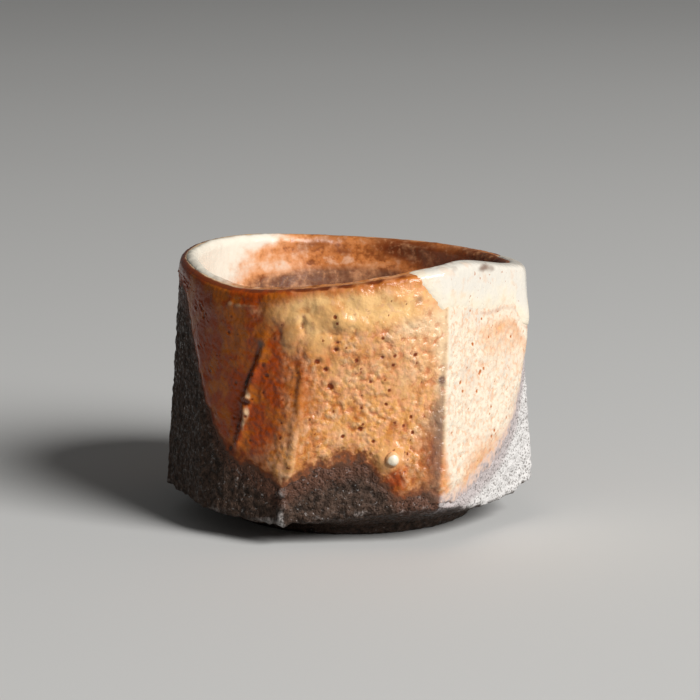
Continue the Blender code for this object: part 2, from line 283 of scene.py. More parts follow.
class SakeCupSizes(bpy.types.PropertyGroup):
    """Sizes of the surfaces that a user would change."""

    grain_size: length("Clay grain", "Spacing of the coarse grains in the bare clay", 1.1 * MM)
    grain_height: length("Grain height", "How far the grains stand out of the bare clay", 0.56 * MM)
    glaze_thickness: length("Outer glaze", "Thickness of the outer glaze where it lies full", 0.95 * MM)
    liner_thickness: length("Liner glaze", "Thickness of the glaze in the well", 0.75 * MM)
    pour_thickness: length("White pour", "Height of the white pour above the outer glaze", 0.22 * MM)
    tuck: length("Tuck", "How far a glaze's hidden underside lies inside the clay", 0.25 * MM)
    pebble_size: length("Pebble", "Spacing of the soft pebbling in the outer glaze", 0.88 * MM)
    pebble_height: length("Pebble height", "Height of the soft pebbling", 0.37 * MM)
    pinhole_count: bpy.props.IntProperty(
        name="Pinholes", description="Number of small pinholes strewn over the outer glaze",
        default=320, min=0)


class SakeCupColours(bpy.types.PropertyGroup):
    """Colours of the clay, the glazes and the floor."""

    clay_pore: colour("Clay, pores", "Bare clay in its pores", "241A13")
    clay_brown: colour("Clay, brown", "Bare clay on its grains", "5C483C")
    # Painted light: the pale clay colour and its pale pore colour also lighten the bare clay on the right
    # facet, where the key light falls.
    clay_pale: colour("Clay, ash", "Bare clay where ash or wear has paled it", "E4E0DC")
    clay_pale_pore: colour("Clay, shade", "Bare clay in the pores of its paled parts", "6C635E")
    clay_plum: colour("Clay, plum", "Bare clay stained beside the glaze", "6B4838")
    glaze_amber: colour("Glaze, amber", "Outer glaze in its deep orange", "AE4609")
    glaze_honey: colour("Glaze, honey", "Outer glaze in the lighter mottling of its deep orange", "C8701C")
    glaze_ochre: colour("Glaze, ochre", "Outer glaze in its yellow mottling", "F0AD62")
    glaze_peach: colour("Glaze, peach", "Outer glaze in its pink mottling", "F5AE77")
    glaze_gold: colour("Glaze, gold", "Outer glaze where it is rolled up under the lip", "FCCB88")
    glaze_cream: colour("Glaze, cream", "Outer glaze where it lies thick", "F3CFA3")
    # Milk, blush, spark and veil are paler copies of cream, clove, pit and rust for the right facet, where
    # the key light falls: partly its own paler glaze, partly painted light.
    glaze_milk: colour("Glaze, milk", "Outer glaze where it lies thick on the right", "F8EEDA")
    # Blush and clove, besides mottling, also paint shade in the creases between the pebbles.
    glaze_blush: colour("Glaze, blush", "Outer glaze between its pebbles on the right", "EDB48A")
    glaze_clove: colour("Glaze, clove", "Outer glaze between its pebbles on the front", "B85210")
    # Also painted shade in the creases between rolls of glaze.
    glaze_rust_and_shade: colour("Glaze, rust", "Outer glaze where it is thin over the iron clay", "7A340F")
    glaze_bark: colour("Glaze, bark", "Outer glaze at its lower edge", "684430")
    glaze_veil: colour("Glaze, veil", "Outer glaze where it thins out on the right", "EACFC0")
    glaze_haze: colour("Glaze, haze", "Outer glaze and clay where they meet on the right", "BDB0AE")
    glaze_smoke: colour("Glaze, smoke", "Outer glaze where smoke has greyed it", "80604F")
    # Painted shade in part: the pit colours also darken the insides of the pits and the fold's cut, where
    # shade falls.
    glaze_pit: colour("Glaze, pit", "Iron in the bottom of the pinholes", "84380C")
    glaze_spark: colour("Glaze, spark", "Iron in the bottom of the pinholes on the right", "C06A2A")
    liner_cream: colour("Liner, cream", "Well glaze where it lies thick", "F6ECD9")
    liner_orange: colour("Liner, orange", "Well glaze at its usual thickness", "D07F40")
    # Brown and dark stand partly for the well's shaded right wall: painted shade.
    liner_brown: colour("Liner, brown", "Well glaze where it is thin", "6E2E0C")
    liner_dark: colour("Liner, dark", "Well glaze where it is thinnest", "3E190A")
    liner_smoke: colour("Liner, smoke", "Well glaze low down, where smoke has greyed it", "725240")
    pour_white: colour("Pour, white", "White pour where it lies thick", "ECE4D6")
    pour_cream: colour("Pour, cream", "White pour where it thins", "FAECD2")
    floor: colour("Floor", "Plain floor under the cup", "DAD9D6")


class SakeCupStage(bpy.types.PropertyGroup):
    """The camera and the light."""

    camera_distance: length("Camera distance", "From the camera to the middle of the cup", 0.600)
    camera_rise: bearing("Camera rise", "Angle of the camera above the cup", 11.2)
    camera_lift: bearing("Camera lift", "How far above the middle of the cup the camera is aimed", 0.63)
    lens: bpy.props.FloatProperty(
        name="Lens", description="Focal length on a 36 mm sensor", default=164.8, unit="CAMERA")
    key_power: bpy.props.FloatProperty(
        name="Key light", description="Power of the soft light from the right", default=49.0, unit="POWER")
    key_angle: bearing("Key angle", "Where the soft light stands round the cup", 317.0)
    key_rise: bearing("Key rise", "Angle of the soft light above the cup", 34.0)
    key_distance: length("Key distance", "From the soft light to the cup", 2.0)
    key_size: length("Key size", "Width of the soft light", 1.1)
    fill: bpy.props.FloatProperty(
        name="Fill", description="Strength of the even light from all round", default=0.085, min=0.0)


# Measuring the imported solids

REACH = 80.0 * MM  # from the axis to where a level ray starts
SURVEY_STEP = 0.5  # degrees from one column of measures to the next
SURVEY_ROWS = 96
FIRST_ROW = 0.05 * MM  # above the underside of the clay
RIDGE_WEAR = 0.7  # degrees over which the ridges between facets are rounded
EDGE_EASE = 1.0  # degrees over which the borders of the glazes are evened out
RIM_SHARE = 0.76  # of the cup's half width, inside which no lip is looked for
RIM_STEPS = 80
CREST_RADIUS_EASE = 3.0  # degrees
CREST_HEIGHT_EASE = 2.0  # degrees
LIP_HALF = 1.35 * MM  # half the thickness of the rounded lip
HEEL_ZONE = 10.0 * MM  # the heel is the widest place below this
COAT_TOP = 2.0 * MM  # below the lip, where the outer glaze is always met
HALVINGS = 14  # of the span in which the edge of a coat is looked for
LEFT_BARE_TOP = 43.5 * MM  # the clay on the left is bare up to here
LEFT_BARE_SPAN = (150.0, 172.0, 200.0)  # angles where that begins, is full and ends


def solid_tree(node):
    """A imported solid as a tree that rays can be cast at."""
    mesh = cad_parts[node].data
    return BVHTree.FromPolygons([v.co for v in mesh.vertices], [p.vertices for p in mesh.polygons])


def direction(angle, slope=0.0):
    """Unit vector at an angle round the cup and a slope above level, both in degrees."""
    turn, rise = math.radians(angle), math.radians(slope)
    return Vector((math.cos(turn) * math.cos(rise), math.sin(turn) * math.cos(rise), math.sin(rise)))


def wall_hit(tree, angle, height):
    """Radius at which a level ray from outside meets a solid on this side of the axis, or None."""
    out = direction(angle)
    hit = tree.ray_cast(out * REACH + Vector((0.0, 0.0, height)), -out, REACH)[0]
    return None if hit is None else hit.xy.length


def wall_column(tree, angle, heights):
    """Radius of a solid at each height, with the last one kept where a ray passes over its lip."""
    radii = []
    for height in heights:
        hit = wall_hit(tree, angle, height)
        radii.append(radii[-1] if hit is None else hit)
    return radii


def lip_crest(tree, angle, radii):
    """Radius and height of the top of the lip at an angle."""
    down = Vector((0.0, 0.0, -1.0))
    starts = [direction(angle) * radius + Vector((0.0, 0.0, REACH)) for radius in radii]
    hits = [tree.ray_cast(start, down)[0] for start in starts]
    best = max((hit for hit in hits if hit is not None), key=lambda hit: hit.z)
    return best.xy.length, best.z


def lower_edge(tree, angle, low, high):
    """Lowest height at which a level ray meets a coat, or NaN where the coat isn't met at all."""
    if wall_hit(tree, angle, high) is None:
        return math.nan
    for _ in range(HALVINGS):
        middle = (low + high) / 2
        if wall_hit(tree, angle, middle) is None:
            low = middle
        else:
            high = middle
    return high


def blur(values, degrees):
    """Measures taken round the cup, evened out over so many degrees."""
    reach = math.ceil(3 * degrees / SURVEY_STEP)
    offsets = np.arange(-reach, reach + 1)
    weights = np.exp(-0.5 * (offsets * SURVEY_STEP / degrees) ** 2)
    return sum(w * np.roll(values, k, axis=0) for k, w in zip(offsets, weights / weights.sum()))


class Survey:
    """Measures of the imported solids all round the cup, which the looks are laid over."""

    def __init__(self):
        self.angles = np.arange(0.0, 360.0, SURVEY_STEP)
        self.clay = solid_tree("clay_body")
        low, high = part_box("clay_body")
        self.heights = np.linspace(low.z + FIRST_ROW, high.z, SURVEY_ROWS)
        columns = [wall_column(self.clay, a, self.heights) for a in self.angles]
        self.radius = blur(np.array(columns), RIDGE_WEAR)
        rim = np.linspace(RIM_SHARE * high.x, high.x, RIM_STEPS)
        crest = np.array([lip_crest(self.clay, a, rim) for a in self.angles])
        self.crest_radius = blur(crest[:, 0], CREST_RADIUS_EASE)
        self.crest_height = blur(crest[:, 1], CREST_HEIGHT_EASE)
        heel_rows = self.heights < low.z + HEEL_ZONE
        self.heel_height = self.heights[heel_rows][self.radius[:, heel_rows].argmax(axis=1)]
        outer = solid_tree("outer_glaze")
        tops = self.crest_height - COAT_TOP
        edges = [lower_edge(outer, a, low.z, top) for a, top in zip(self.angles, tops)]
        begin, whole, end = LEFT_BARE_SPAN
        bare = LEFT_BARE_TOP * ease(begin, whole, self.angles) * (self.angles < end)
        self.glaze_edge = np.maximum(blur(np.array(edges), EDGE_EASE), bare)
        past_left = np.mod(self.angles - 180.0, 360.0) + 180.0
        self.pour_edge = blur(np.interp(past_left, *np.array(POUR_EDGE).T) * MM, EDGE_EASE)

    def at(self, values, angles):
        """A measure at any angles."""
        return np.interp(angles, self.angles, values, period=360.0)

    def lip(self, angles):
        """Radius of the top of the lip, and height at which its rounding begins, for each angle."""
        height = self.at(self.crest_height, angles)[:, None]
        return self.at(self.crest_radius, angles)[:, None], height - LIP_HALF

    def wall(self, angles, heights):
        """Radius of the clay's outside at one row of heights for each angle."""
        columns = np.stack([self.at(row, angles) for row in self.radius.T], axis=1)
        return np.stack([np.interp(h, self.heights, c) for h, c in zip(heights, columns)])


# Grids of points on the cup

FINE_SPAN = (183.0, 377.0)  # the side that the camera sees has the finer columns
FINE_COLUMNS = 400
COARSE_COLUMNS = 215
WELD = 1e-6  # points closer than this are one
SLIVER = 0.02 * MM  # least thickness of a glaze
NO_AREA = 1e-14  # below which a face has no direction
NORMAL_EASE = 30  # rounds of evening out along a column
LINE_START = 0.5 * MM  # a line up the wall is full from here above its lower end
LINE_FADE = 1.5 * MM  # and fades over this past its ends
EYE = Vector((0.0, 0.0, 21.0 * MM))  # a place in the well, which the rows of the clay are aimed from
DOWN = -90.0
UNDER_SLOPE = -38.0  # from there, the rows on the heel begin at this slope
SIDE_SLOPE = -24.0  # and those on the side at this one
SIDE_CROWDING = 1.25  # draws the rows on the side together at its foot
LIP_OUTSIDE = 0.6  # degrees from the lip to the next row outside
LIP_INSIDE = 2.5  # degrees from the lip to the next row in the well
UNDER_ROWS = 8
HEEL_ROWS = 16
SIDE_ROWS = 96
INSIDE_ROWS = 22
OUTER_ROWS = (128, 16)  # of the outer glaze, up the wall and over the lip
OUTER_WRAP = 150.0  # degrees over the lip at which the outer glaze ends
LINER_ROWS = (14, 100)  # of the glaze in the well, on the lip and below it
LINER_START = 70.0  # degrees over the lip at which it begins
LINER_COLUMNS = 421
POUR_ROWS = (90, 18)  # of the white pour, up the wall and over the lip
POUR_WRAP = 124.0  # degrees over the lip at which the white pour ends
POUR_COLUMNS = 330
FOOT_ROWS = 49
FOOT_COLUMNS = 361


class Grid:
    """Points on the cup in columns and rows, with the angle, radius and height of each."""

    def __init__(self, points, angles, height=None):
        self.points = points
        self.angles = angles
        self.turn = np.repeat(angles[:, None], points.shape[1], axis=1)
        self.radius = np.hypot(points[..., 0], points[..., 1])
        self.height = points[..., 2] if height is None else height
        self.closed = np.allclose(points[0], points[-1], atol=WELD)
        ring = np.concatenate([points[-2:-1], points, points[1:2]]) if self.closed else points
        along = np.gradient(ring, axis=0)
        step = np.cross(along[1:-1] if self.closed else along, np.gradient(points, axis=1))
        span = np.linalg.norm(step, axis=2, keepdims=True)
        self.normals = np.where(span > NO_AREA, step / np.maximum(span, NO_AREA), (0.0, 0.0, 1.0))

    def across(self, angle):
        """Distance along the wall from an angle, positive to the right as seen from outside."""
        return np.radians(apart(self.turn, angle)) * self.radius

    def patch(self, angle, height, wide, tall):
        """A soft spot, 1 in its middle, with half sizes in millimetres."""
        aside = self.across(angle) / (wide * MM)
        above = (self.height - height * MM) / (tall * MM)
        return np.exp(-aside ** 2 - above ** 2)

    def beside(self, line):
        """Distance to the right of a line up the wall, and 1 along its length, fading past its ends."""
        angles, heights = np.array(line).T
        aside = self.across(np.interp(self.height, heights * MM, angles))
        lowest, highest = heights[0] * MM, heights[-1] * MM
        run = ease(lowest - LINE_FADE, lowest + LINE_START, self.height)
        return aside, run * ease(highest + LINE_FADE, highest - LINE_FADE, self.height)


def apart(angles, other):
    """Degrees from another angle, from -180 to 180."""
    return np.mod(angles - other + 180.0, 360.0) - 180.0


def ease(low, high, value):
    """Smooth step from 0 at low to 1 at high."""
    share = np.clip((value - low) / (high - low), 0.0, 1.0)
    return share * share * (3.0 - 2.0 * share)


def hump(value, middle, half_width):
    """Smooth bump of height 1."""
    return np.exp(-((value - middle) / half_width) ** 2)


def around(pairs, angles):
    """Value at any angles from a short list of (angle, value)."""
    return np.interp(angles, [p[0] for p in pairs], [p[1] for p in pairs], period=360.0)


def lumps(points, size, seed, basis="PERLIN_ORIGINAL"):
    """Noise from about -1 to 1 at each point, with lumps of the given size."""
    shift = Vector((seed * 7.31, seed * 3.17, seed * 5.93))
    places = (points.reshape(-1, 3) / size).tolist()
    values = [noise.noise(Vector(p) + shift, noise_basis=basis) for p in places]
    return np.array(values).reshape(points.shape[:-1])


def pebbles(points, size, seed):
    """Rounded bumps of uneven size, 1 on their tops and 0 in the creases between them."""
    pull = np.stack([lumps(points, 2.2 * size, seed + k) for k in (1, 2, 3)], axis=-1)
    reach = 0.5 + 0.5 * lumps(points + 0.5 * size * pull, size, seed, "VORONOI_F1")
    return np.clip(1.0 - (reach / 0.8) ** 2, 0.0, 1.0)


def polar(angles, radius, height):
    """Points from an angle for each column, and a radius and height for each row in it."""
    turn = np.radians(angles)[:, None]
    return np.stack([radius * np.cos(turn), radius * np.sin(turn), height], axis=2)


def all_round():
    """Angles of the columns, close together on the side that the camera sees."""
    left, right = FINE_SPAN
    fine = np.linspace(left, right, FINE_COLUMNS, endpoint=False)
    return np.concatenate([fine, np.linspace(right, left + 360.0, COARSE_COLUMNS)])


def wall_grid(survey, angles, low, wrap, rows):
    """Grid up the outside of the clay from a lower edge, and over the lip by an angle in degrees."""
    wall_rows, lip_rows = rows
    radius, top = survey.lip(angles)
    heights = low[:, None] + (top - low[:, None]) * np.linspace(0.0, 1.0, wall_rows)
    wall = survey.wall(angles, heights)
    bend = np.radians(np.linspace(0.0, wrap, lip_rows + 1)[1:])
    over = radius + (wall[:, -1:] - radius) * np.cos(bend)
    rise = top + LIP_HALF * np.sin(bend)
    points = polar(angles, np.hstack([wall, over]), np.hstack([heights, rise]))
    grid = Grid(points, angles, np.hstack([heights, top + LIP_HALF * bend]))
    normals = grid.normals
    for _ in range(NORMAL_EASE):
        normals[:, 1:-1] = (normals[:, :-2] + 2.0 * normals[:, 1:-1] + normals[:, 2:]) / 4.0
    normals /= np.linalg.norm(normals, axis=2, keepdims=True)
    grid.bend = np.tile(np.concatenate([np.zeros(wall_rows), np.degrees(bend)]), (len(angles), 1))
    grid.lip = top
    return grid


def well_grid(survey, angles, start, rows):
    """Grid from a bend on the lip, down the inside of the clay to the middle of its floor."""
    lip_rows, well_rows = rows
    radius, top = survey.lip(angles)
    bend = np.radians(np.linspace(start, 180.0, lip_rows))
    lip = polar(angles, radius + LIP_HALF * np.cos(bend), top + LIP_HALF * np.sin(bend))
    columns = []
    for angle, r, z in zip(angles, radius[:, 0] - LIP_HALF, top[:, 0]):
        first = math.degrees(math.atan2(z - EYE.z, r))
        slopes = np.linspace(first, DOWN, well_rows + 1)[1:]
        columns.append([survey.clay.ray_cast(EYE, direction(angle, s))[0] for s in slopes])
    grid = Grid(np.concatenate([lip, np.array(columns)], axis=1), angles)
    grid.bend = np.tile(np.concatenate([np.degrees(bend), np.full(well_rows, 180.0)]), (len(angles), 1))
    return grid


def clay_grid(survey, angles):
    """Grid all over the clay, from the middle of its underside over the lip to the middle of its floor."""
    side = np.linspace(0.0, 1.0, SIDE_ROWS) ** SIDE_CROWDING
    columns = []
    for angle in angles:
        r, z = survey.at(survey.crest_radius, angle), survey.at(survey.crest_height, angle)
        lip = math.degrees(math.atan2(z - EYE.z, r))
        outside = np.concatenate([
            np.linspace(DOWN, UNDER_SLOPE, UNDER_ROWS, endpoint=False),
            np.linspace(UNDER_SLOPE, SIDE_SLOPE, HEEL_ROWS, endpoint=False),
            SIDE_SLOPE + (lip - LIP_OUTSIDE - SIDE_SLOPE) * side])
        inside = np.linspace(lip - LIP_INSIDE, DOWN, INSIDE_ROWS)
        points = []
        for slope in outside:
            out = direction(angle, slope)
            points.append(survey.clay.ray_cast(EYE + out * REACH, -out)[0])
        points.append(direction(angle) * float(r) + Vector((0.0, 0.0, float(z))))
        points.extend(survey.clay.ray_cast(EYE, direction(angle, slope))[0] for slope in inside)
        columns.append(points)
    return Grid(np.array(columns), angles)


# Making meshes

def skin(name, points, tints):
    """A smooth closed mesh of a grid of points, with its tints as values at every point."""
    columns, rows = points.shape[:2]
    bpy.ops.object.select_all(action="DESELECT")
    bpy.ops.mesh.primitive_grid_add(
        x_subdivisions=columns - 1, y_subdivisions=rows - 1, size=1.0, calc_uvs=False)
    piece = bpy.context.object
    piece.name = piece.data.name = name
    piece.data.vertices.foreach_set("co", points.transpose(1, 0, 2).astype(np.float32).ravel())
    for tint, values in tints.items():
        layer = piece.data.attributes.new(tint, "FLOAT", "POINT")
        layer.data.foreach_set("value", np.clip(values, 0.0, 1.0).T.astype(np.float32).ravel())
    piece.data.update()
    bpy.ops.object.mode_set(mode="EDIT")
    bpy.ops.mesh.select_all(action="SELECT")
    bpy.ops.mesh.remove_doubles(threshold=WELD)
    bpy.ops.mesh.delete_loose()
    bpy.ops.mesh.select_all(action="SELECT")
    bpy.ops.mesh.normals_make_consistent(inside=False)
    bpy.ops.object.mode_set(mode="OBJECT")
    bpy.ops.object.shade_smooth()
    return piece


def coat(name, grid, thickness, under, tints, under_rows=10):
    """A closed skin of glaze: its face stands off the grid by its thickness, its hidden back by under."""
    within = (slice(None) if grid.closed else slice(1, -1), slice(1, -1))
    thickness[within] = np.maximum(thickness[within], under + SLIVER)
    face = grid.points + grid.normals * thickness[..., None]
    picks = np.linspace(face.shape[1] - 1, 0, under_rows).round().astype(int)
    back = (grid.points + grid.normals * under)[:, picks]
    loops = {tint: np.hstack([values, values[:, picks]]) for tint, values in tints.items()}
    return skin(name, np.concatenate([face, back], axis=1), loops)


def roughen(piece, kind, size, height):
    """Fine relief pushed into a mesh with a Displace modifier."""
    texture = bpy.data.textures.new(piece.name + "_" + kind.lower(), kind)
    texture.noise_scale = size
    push = piece.modifiers.new("relief", "DISPLACE")
    push.texture = texture
    push.strength = height
    bpy.ops.object.modifier_apply(modifier=push.name)


def settle(piece, factor, repeats):
    """Sharp edges of a mesh worn round with a Smooth modifier."""
    wear = piece.modifiers.new("wear", "SMOOTH")
    wear.factor = factor
    wear.iterations = repeats
    bpy.ops.object.modifier_apply(modifier=wear.name)


def dress(piece, material, node):
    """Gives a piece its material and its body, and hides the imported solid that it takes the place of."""
    piece.data.materials.clear()
    piece.data.materials.append(material)
    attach(piece, "root")
    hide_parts(node)


# Glaze relief

GLAZE_RADIUS = 32.0 * MM  # of the wall where the creases lie
NARROW_RADIUS = 28.0 * MM  # least radius of the glazed wall
PIT_SPAN = 2.6  # radii round its middle that a pit shapes
PIT_BRIM = 1.15  # radii at which its bowl ends
PIT_RIM = (1.35, 0.40)  # radii to its raised rim, and the rim's half width
PINHOLE_SEED = 11
PINHOLE_CLEAR = (1.5, 3.0)  # millimetres from the lower edge of the glaze and from the lip
PINHOLE_RADIUS = (0.22, 0.26)  # millimetres, the least and what chance adds
PINHOLE_DEPTH = 0.7  # of its radius
DROP_FULL = 0.4  # millimetres of rise from which a drop's top has its full colour, which is thick glaze and in part painted highlight

# Spans from where something is nothing to where it is full. On the lip they are degrees of its bend,
# which goes from 0 on the outside to 180 in the well.
LIP_TOP = (20.0, 75.0)
RIM_BEGINS = (20.0, 45.0)
RIM_ENDS = (88.0, 62.0)
INNER_SIDE = (52.0, 78.0)
OUTER_END = (OUTER_WRAP, 122.0)
LINER_BEGINS = (62.0, 128.0)
POUR_END = (POUR_WRAP, 100.0)
POUR_SPECKS = (50.0, 80.0)

# Such spans round the cup, in degrees.
RIGHT_END = (374.0, 362.0)
POUR_CREAM_BEGINS = (300.5, 303.0)
HEM_BEGINS = (318.0, 324.0)
HEM_ENDS = (362.0, 357.0)

# Such spans up the wall.
KEEL_FOOT = (11.4 * MM, 10.2 * MM)
KEEL_ASH = (11.6 * MM, 10.2 * MM)
# Over these heights the painted highlight along the keel's lit right side fades in, going down.
KEEL_HIGHLIGHT = (27.0 * MM, 21.0 * MM)
DRIP_SWELL = (42.0 * MM, 37.5 * MM)

# Mouldings along a line up the wall: (place to its right, half width, height), in millimetres.
FOLD_ROLL = (1.00, 0.60, 0.34)
FOLD_CUT = (-0.10, 0.72, 1.00)  # its height is a share of FOLD_DEPTH
FOLD_SHELF = (-0.40, 3.20, 0.40)
KEEL_RIB = (0.50, 0.55, 0.26)
KEEL_GROOVE = (-0.40, 0.45, 0.14)
KEEL_CRACK = (0.00, 1.60, 0.60)

FOLD_DEPTH = 0.34  # millimetres at the bottom of the cut
KEEL_BLOCK = 0.70  # millimetres that the block stands out
KEEL_CRACK_HEIGHT = 8.9 * MM


def pitted(grid, pits):
    """Relief of ragged pits with raised rims, and how far each point lies in one."""
    relief = np.zeros(grid.height.shape)
    inside = np.zeros(grid.height.shape)
    ragged = 1.0 + 0.4 * lumps(grid.points, 0.9 * MM, 65)
    for angle, height, radius, depth in pits:
        near = np.abs(apart(grid.angles, angle)) < math.degrees(PIT_SPAN * radius * MM / NARROW_RADIUS)
        aside = np.radians(apart(grid.turn[near], angle)) * grid.radius[near]
        lean = 0.3 * math.sin(37.0 * angle + 11.0 * height)
        rise = grid.height[near] - height * MM
        reach = np.hypot(aside + lean * rise, rise - lean * aside) / (1.1 * radius * MM) * ragged[near]
        bowl = 1.0 - ease(0.0, PIT_BRIM, reach)
        relief[near] += depth * MM * (0.25 * hump(reach, *PIT_RIM) - 0.55 * bowl)
        inside[near] = np.maximum(inside[near], 1.0 - ease(0.3, PIT_BRIM, reach))
    return relief, inside


def strewn_pits(survey, count):
    """Small pinholes at seeded random places on the outer glaze."""
    chance = np.random.default_rng(PINHOLE_SEED)
    angles = chance.uniform(0.0, 360.0, count)
    low = survey.at(survey.glaze_edge, angles) / MM + PINHOLE_CLEAR[0]
    high = survey.at(survey.crest_height, angles) / MM - PINHOLE_CLEAR[1]
    heights = low + (high - low) * chance.uniform(0.0, 1.0, count)
    least, more = PINHOLE_RADIUS
    radii = least + more * chance.uniform(0.0, 1.0, count) ** 2.5
    return [(a, h, r, PINHOLE_DEPTH * r) for a, h, r in zip(angles, heights, radii)]


def moulding(aside, profile):
    """A rounded form along a line, in millimetres."""
    place, wide, rise = profile
    return rise * hump(aside, place * MM, wide * MM)


def fold_relief(grid):
    """The folded seam on the left: a cut with a raised roll on its right, and how far points lie in it."""
    aside, run = grid.beside(FOLD)
    roll = moulding(aside, FOLD_ROLL) * (1.0 + 0.7 * lumps(grid.points, 2.4 * MM, 21))
    cut = moulding(aside, FOLD_CUT) * (1.0 + 0.7 * lumps(grid.points, 1.6 * MM, 22))
    cut = np.clip(cut, 0.0, 1.0)
    shelf = moulding(aside, FOLD_SHELF) * ease(0.5 * MM, -0.3 * MM, aside)
    return run * MM * (roll - FOLD_DEPTH * cut - shelf), run * cut


def keel_relief(grid):
    """The worn ridge at the front left: a low rib beside a groove, which ends in a broken block of clay."""
    aside, run = grid.beside(KEEL)
    aside = aside + 0.30 * MM * lumps(grid.points, 2.6 * MM, 32)
    rib = moulding(aside, KEEL_RIB) * (1.0 + 0.4 * lumps(grid.points, 2.2 * MM, 31))
    groove = moulding(aside, KEEL_GROOVE)
    broken = 1.0 + 0.9 * lumps(grid.points, 1.5 * MM, 33)
    block = KEEL_BLOCK * ease(1.2 * MM, 0.2 * MM, np.abs(aside)) * broken
    crack = moulding(aside, KEEL_CRACK) * hump(grid.height, KEEL_CRACK_HEIGHT, 0.40 * MM)
    foot = ease(*KEEL_FOOT, grid.height)
    return run * MM * ((1.0 - foot) * (rib - groove) + foot * (block - crack))


def creased(grid):
    """Relief of the creases between rolls of glaze, and how deep each point lies in one."""
    relief = np.zeros(grid.height.shape)
    inside = np.zeros(grid.height.shape)
    wander = 0.35 * MM * lumps(grid.points, 1.6 * MM, 64)
    for angle, height, other_angle, other_height, wide, depth in CREASES:
        across, rise = grid.across(angle) + wander, grid.height - height * MM + wander
        run = math.radians(other_angle - angle) * GLAZE_RADIUS
        climb = (other_height - height) * MM
        share = np.clip((across * run + rise * climb) / (run * run + climb * climb), 0.0, 1.0)
        reach = np.hypot(across - share * run, rise - share * climb)
        groove = hump(reach, 0.0, wide * MM) * np.sin(math.pi * np.clip(share, 0.12, 0.88))
        relief -= depth * MM * groove
        inside = np.maximum(inside, groove)
    return relief, inside


def domed(grid):
    """Relief of the drops and rolls of thick glaze, and how far up one each point lies."""
    relief = np.zeros(grid.height.shape)
    share = np.zeros(grid.height.shape)
    uneven = 1.0 + 0.35 * lumps(grid.points, 2.2 * MM, 66)
    for angle, height, wide, tall, rise in DROPS:
        aside = grid.across(angle) / (wide * MM)
        above = (grid.height - height * MM) / (tall * MM)
        spread = (aside ** 2 + above ** 2 - 0.5 * aside * above) * uneven
        dome = np.clip(1.0 - spread / 1.7, 0.0, 1.0) ** 0.8
        relief += rise * MM * dome
        share = np.maximum(share, dome * min(rise / DROP_FULL, 1.0))
    return relief, share


def patches(grid, spots):
    """Sum of soft spots, each with its own strength."""
    return sum(strength * grid.patch(a, h, wide, tall) for a, h, wide, tall, strength in spots)


def right_side(grid):
    """1 on the facet to the right of the front right ridge."""
    aside, _ = grid.beside(CORNER)
    return ease(-0.3 * MM, 0.8 * MM, aside) * ease(*RIGHT_END, grid.turn)


def corner_smoke(grid):
    """Smoke stain along the left of the front right ridge, a thin line above and wide at its foot."""
    aside, run = grid.beside(CORNER)
    heights, widths, strengths = np.array(CORNER_SMOKE).T
    width = np.interp(grid.height, heights * MM, widths * MM)
    drift = 1.2 * MM * lumps(grid.points * (1.0, 1.0, 0.3), 1.4 * MM, 61) * ease(0.8 * MM, 4.0 * MM, width)
    stain = run * ease(-width, 0.25 * width, aside + drift) * ease(0.5 * MM, -0.3 * MM, aside)
    return stain * np.interp(grid.height, heights * MM, strengths)


def lip_marks(grid):
    """On the lip: its browned collar, its burnt line, its burnt specks and its pale inner side."""
    burn = around(LIP_BURN, grid.angles)[:, None]
    rim = ease(*RIM_BEGINS, grid.bend) * ease(*RIM_ENDS, grid.bend)
    collar = burn * ease(-2.4 * MM, 1.2 * MM, grid.height - grid.lip)
    line = burn * rim * (0.95 + 0.8 * lumps(grid.points, 2.5 * MM, 62))
    specks = burn * rim * ease(0.25, 0.50, lumps(grid.points, 1.3 * MM, 63))
    pale = around(LIP_CREAM, grid.angles)[:, None] * ease(*INNER_SIDE, grid.bend)
    return collar, np.clip(line, 0.0, 1.0), specks, pale


def feldspar_edge(survey, grid):
    """Height above the outer glaze's ragged lower edge, and the width over which it thins out there."""
    edge = survey.at(survey.glaze_edge, grid.angles)[:, None]
    shift = around(EDGE_SHIFT, grid.angles)[:, None] * MM
    fade = around(EDGE_FADE, grid.angles)[:, None] * MM
    ragged = MM * (0.9 * lumps(grid.points, 5.0 * MM, 1) + 1.1 * lumps(grid.points, 1.8 * MM, 2))
    ragged = ragged * (1.0 - 0.65 * right_side(grid))
    ragged = ragged * np.clip((fade - 1.5 * MM) / (3.0 * MM), 0.2, 1.0)
    return grid.height - edge + shift + ragged, fade


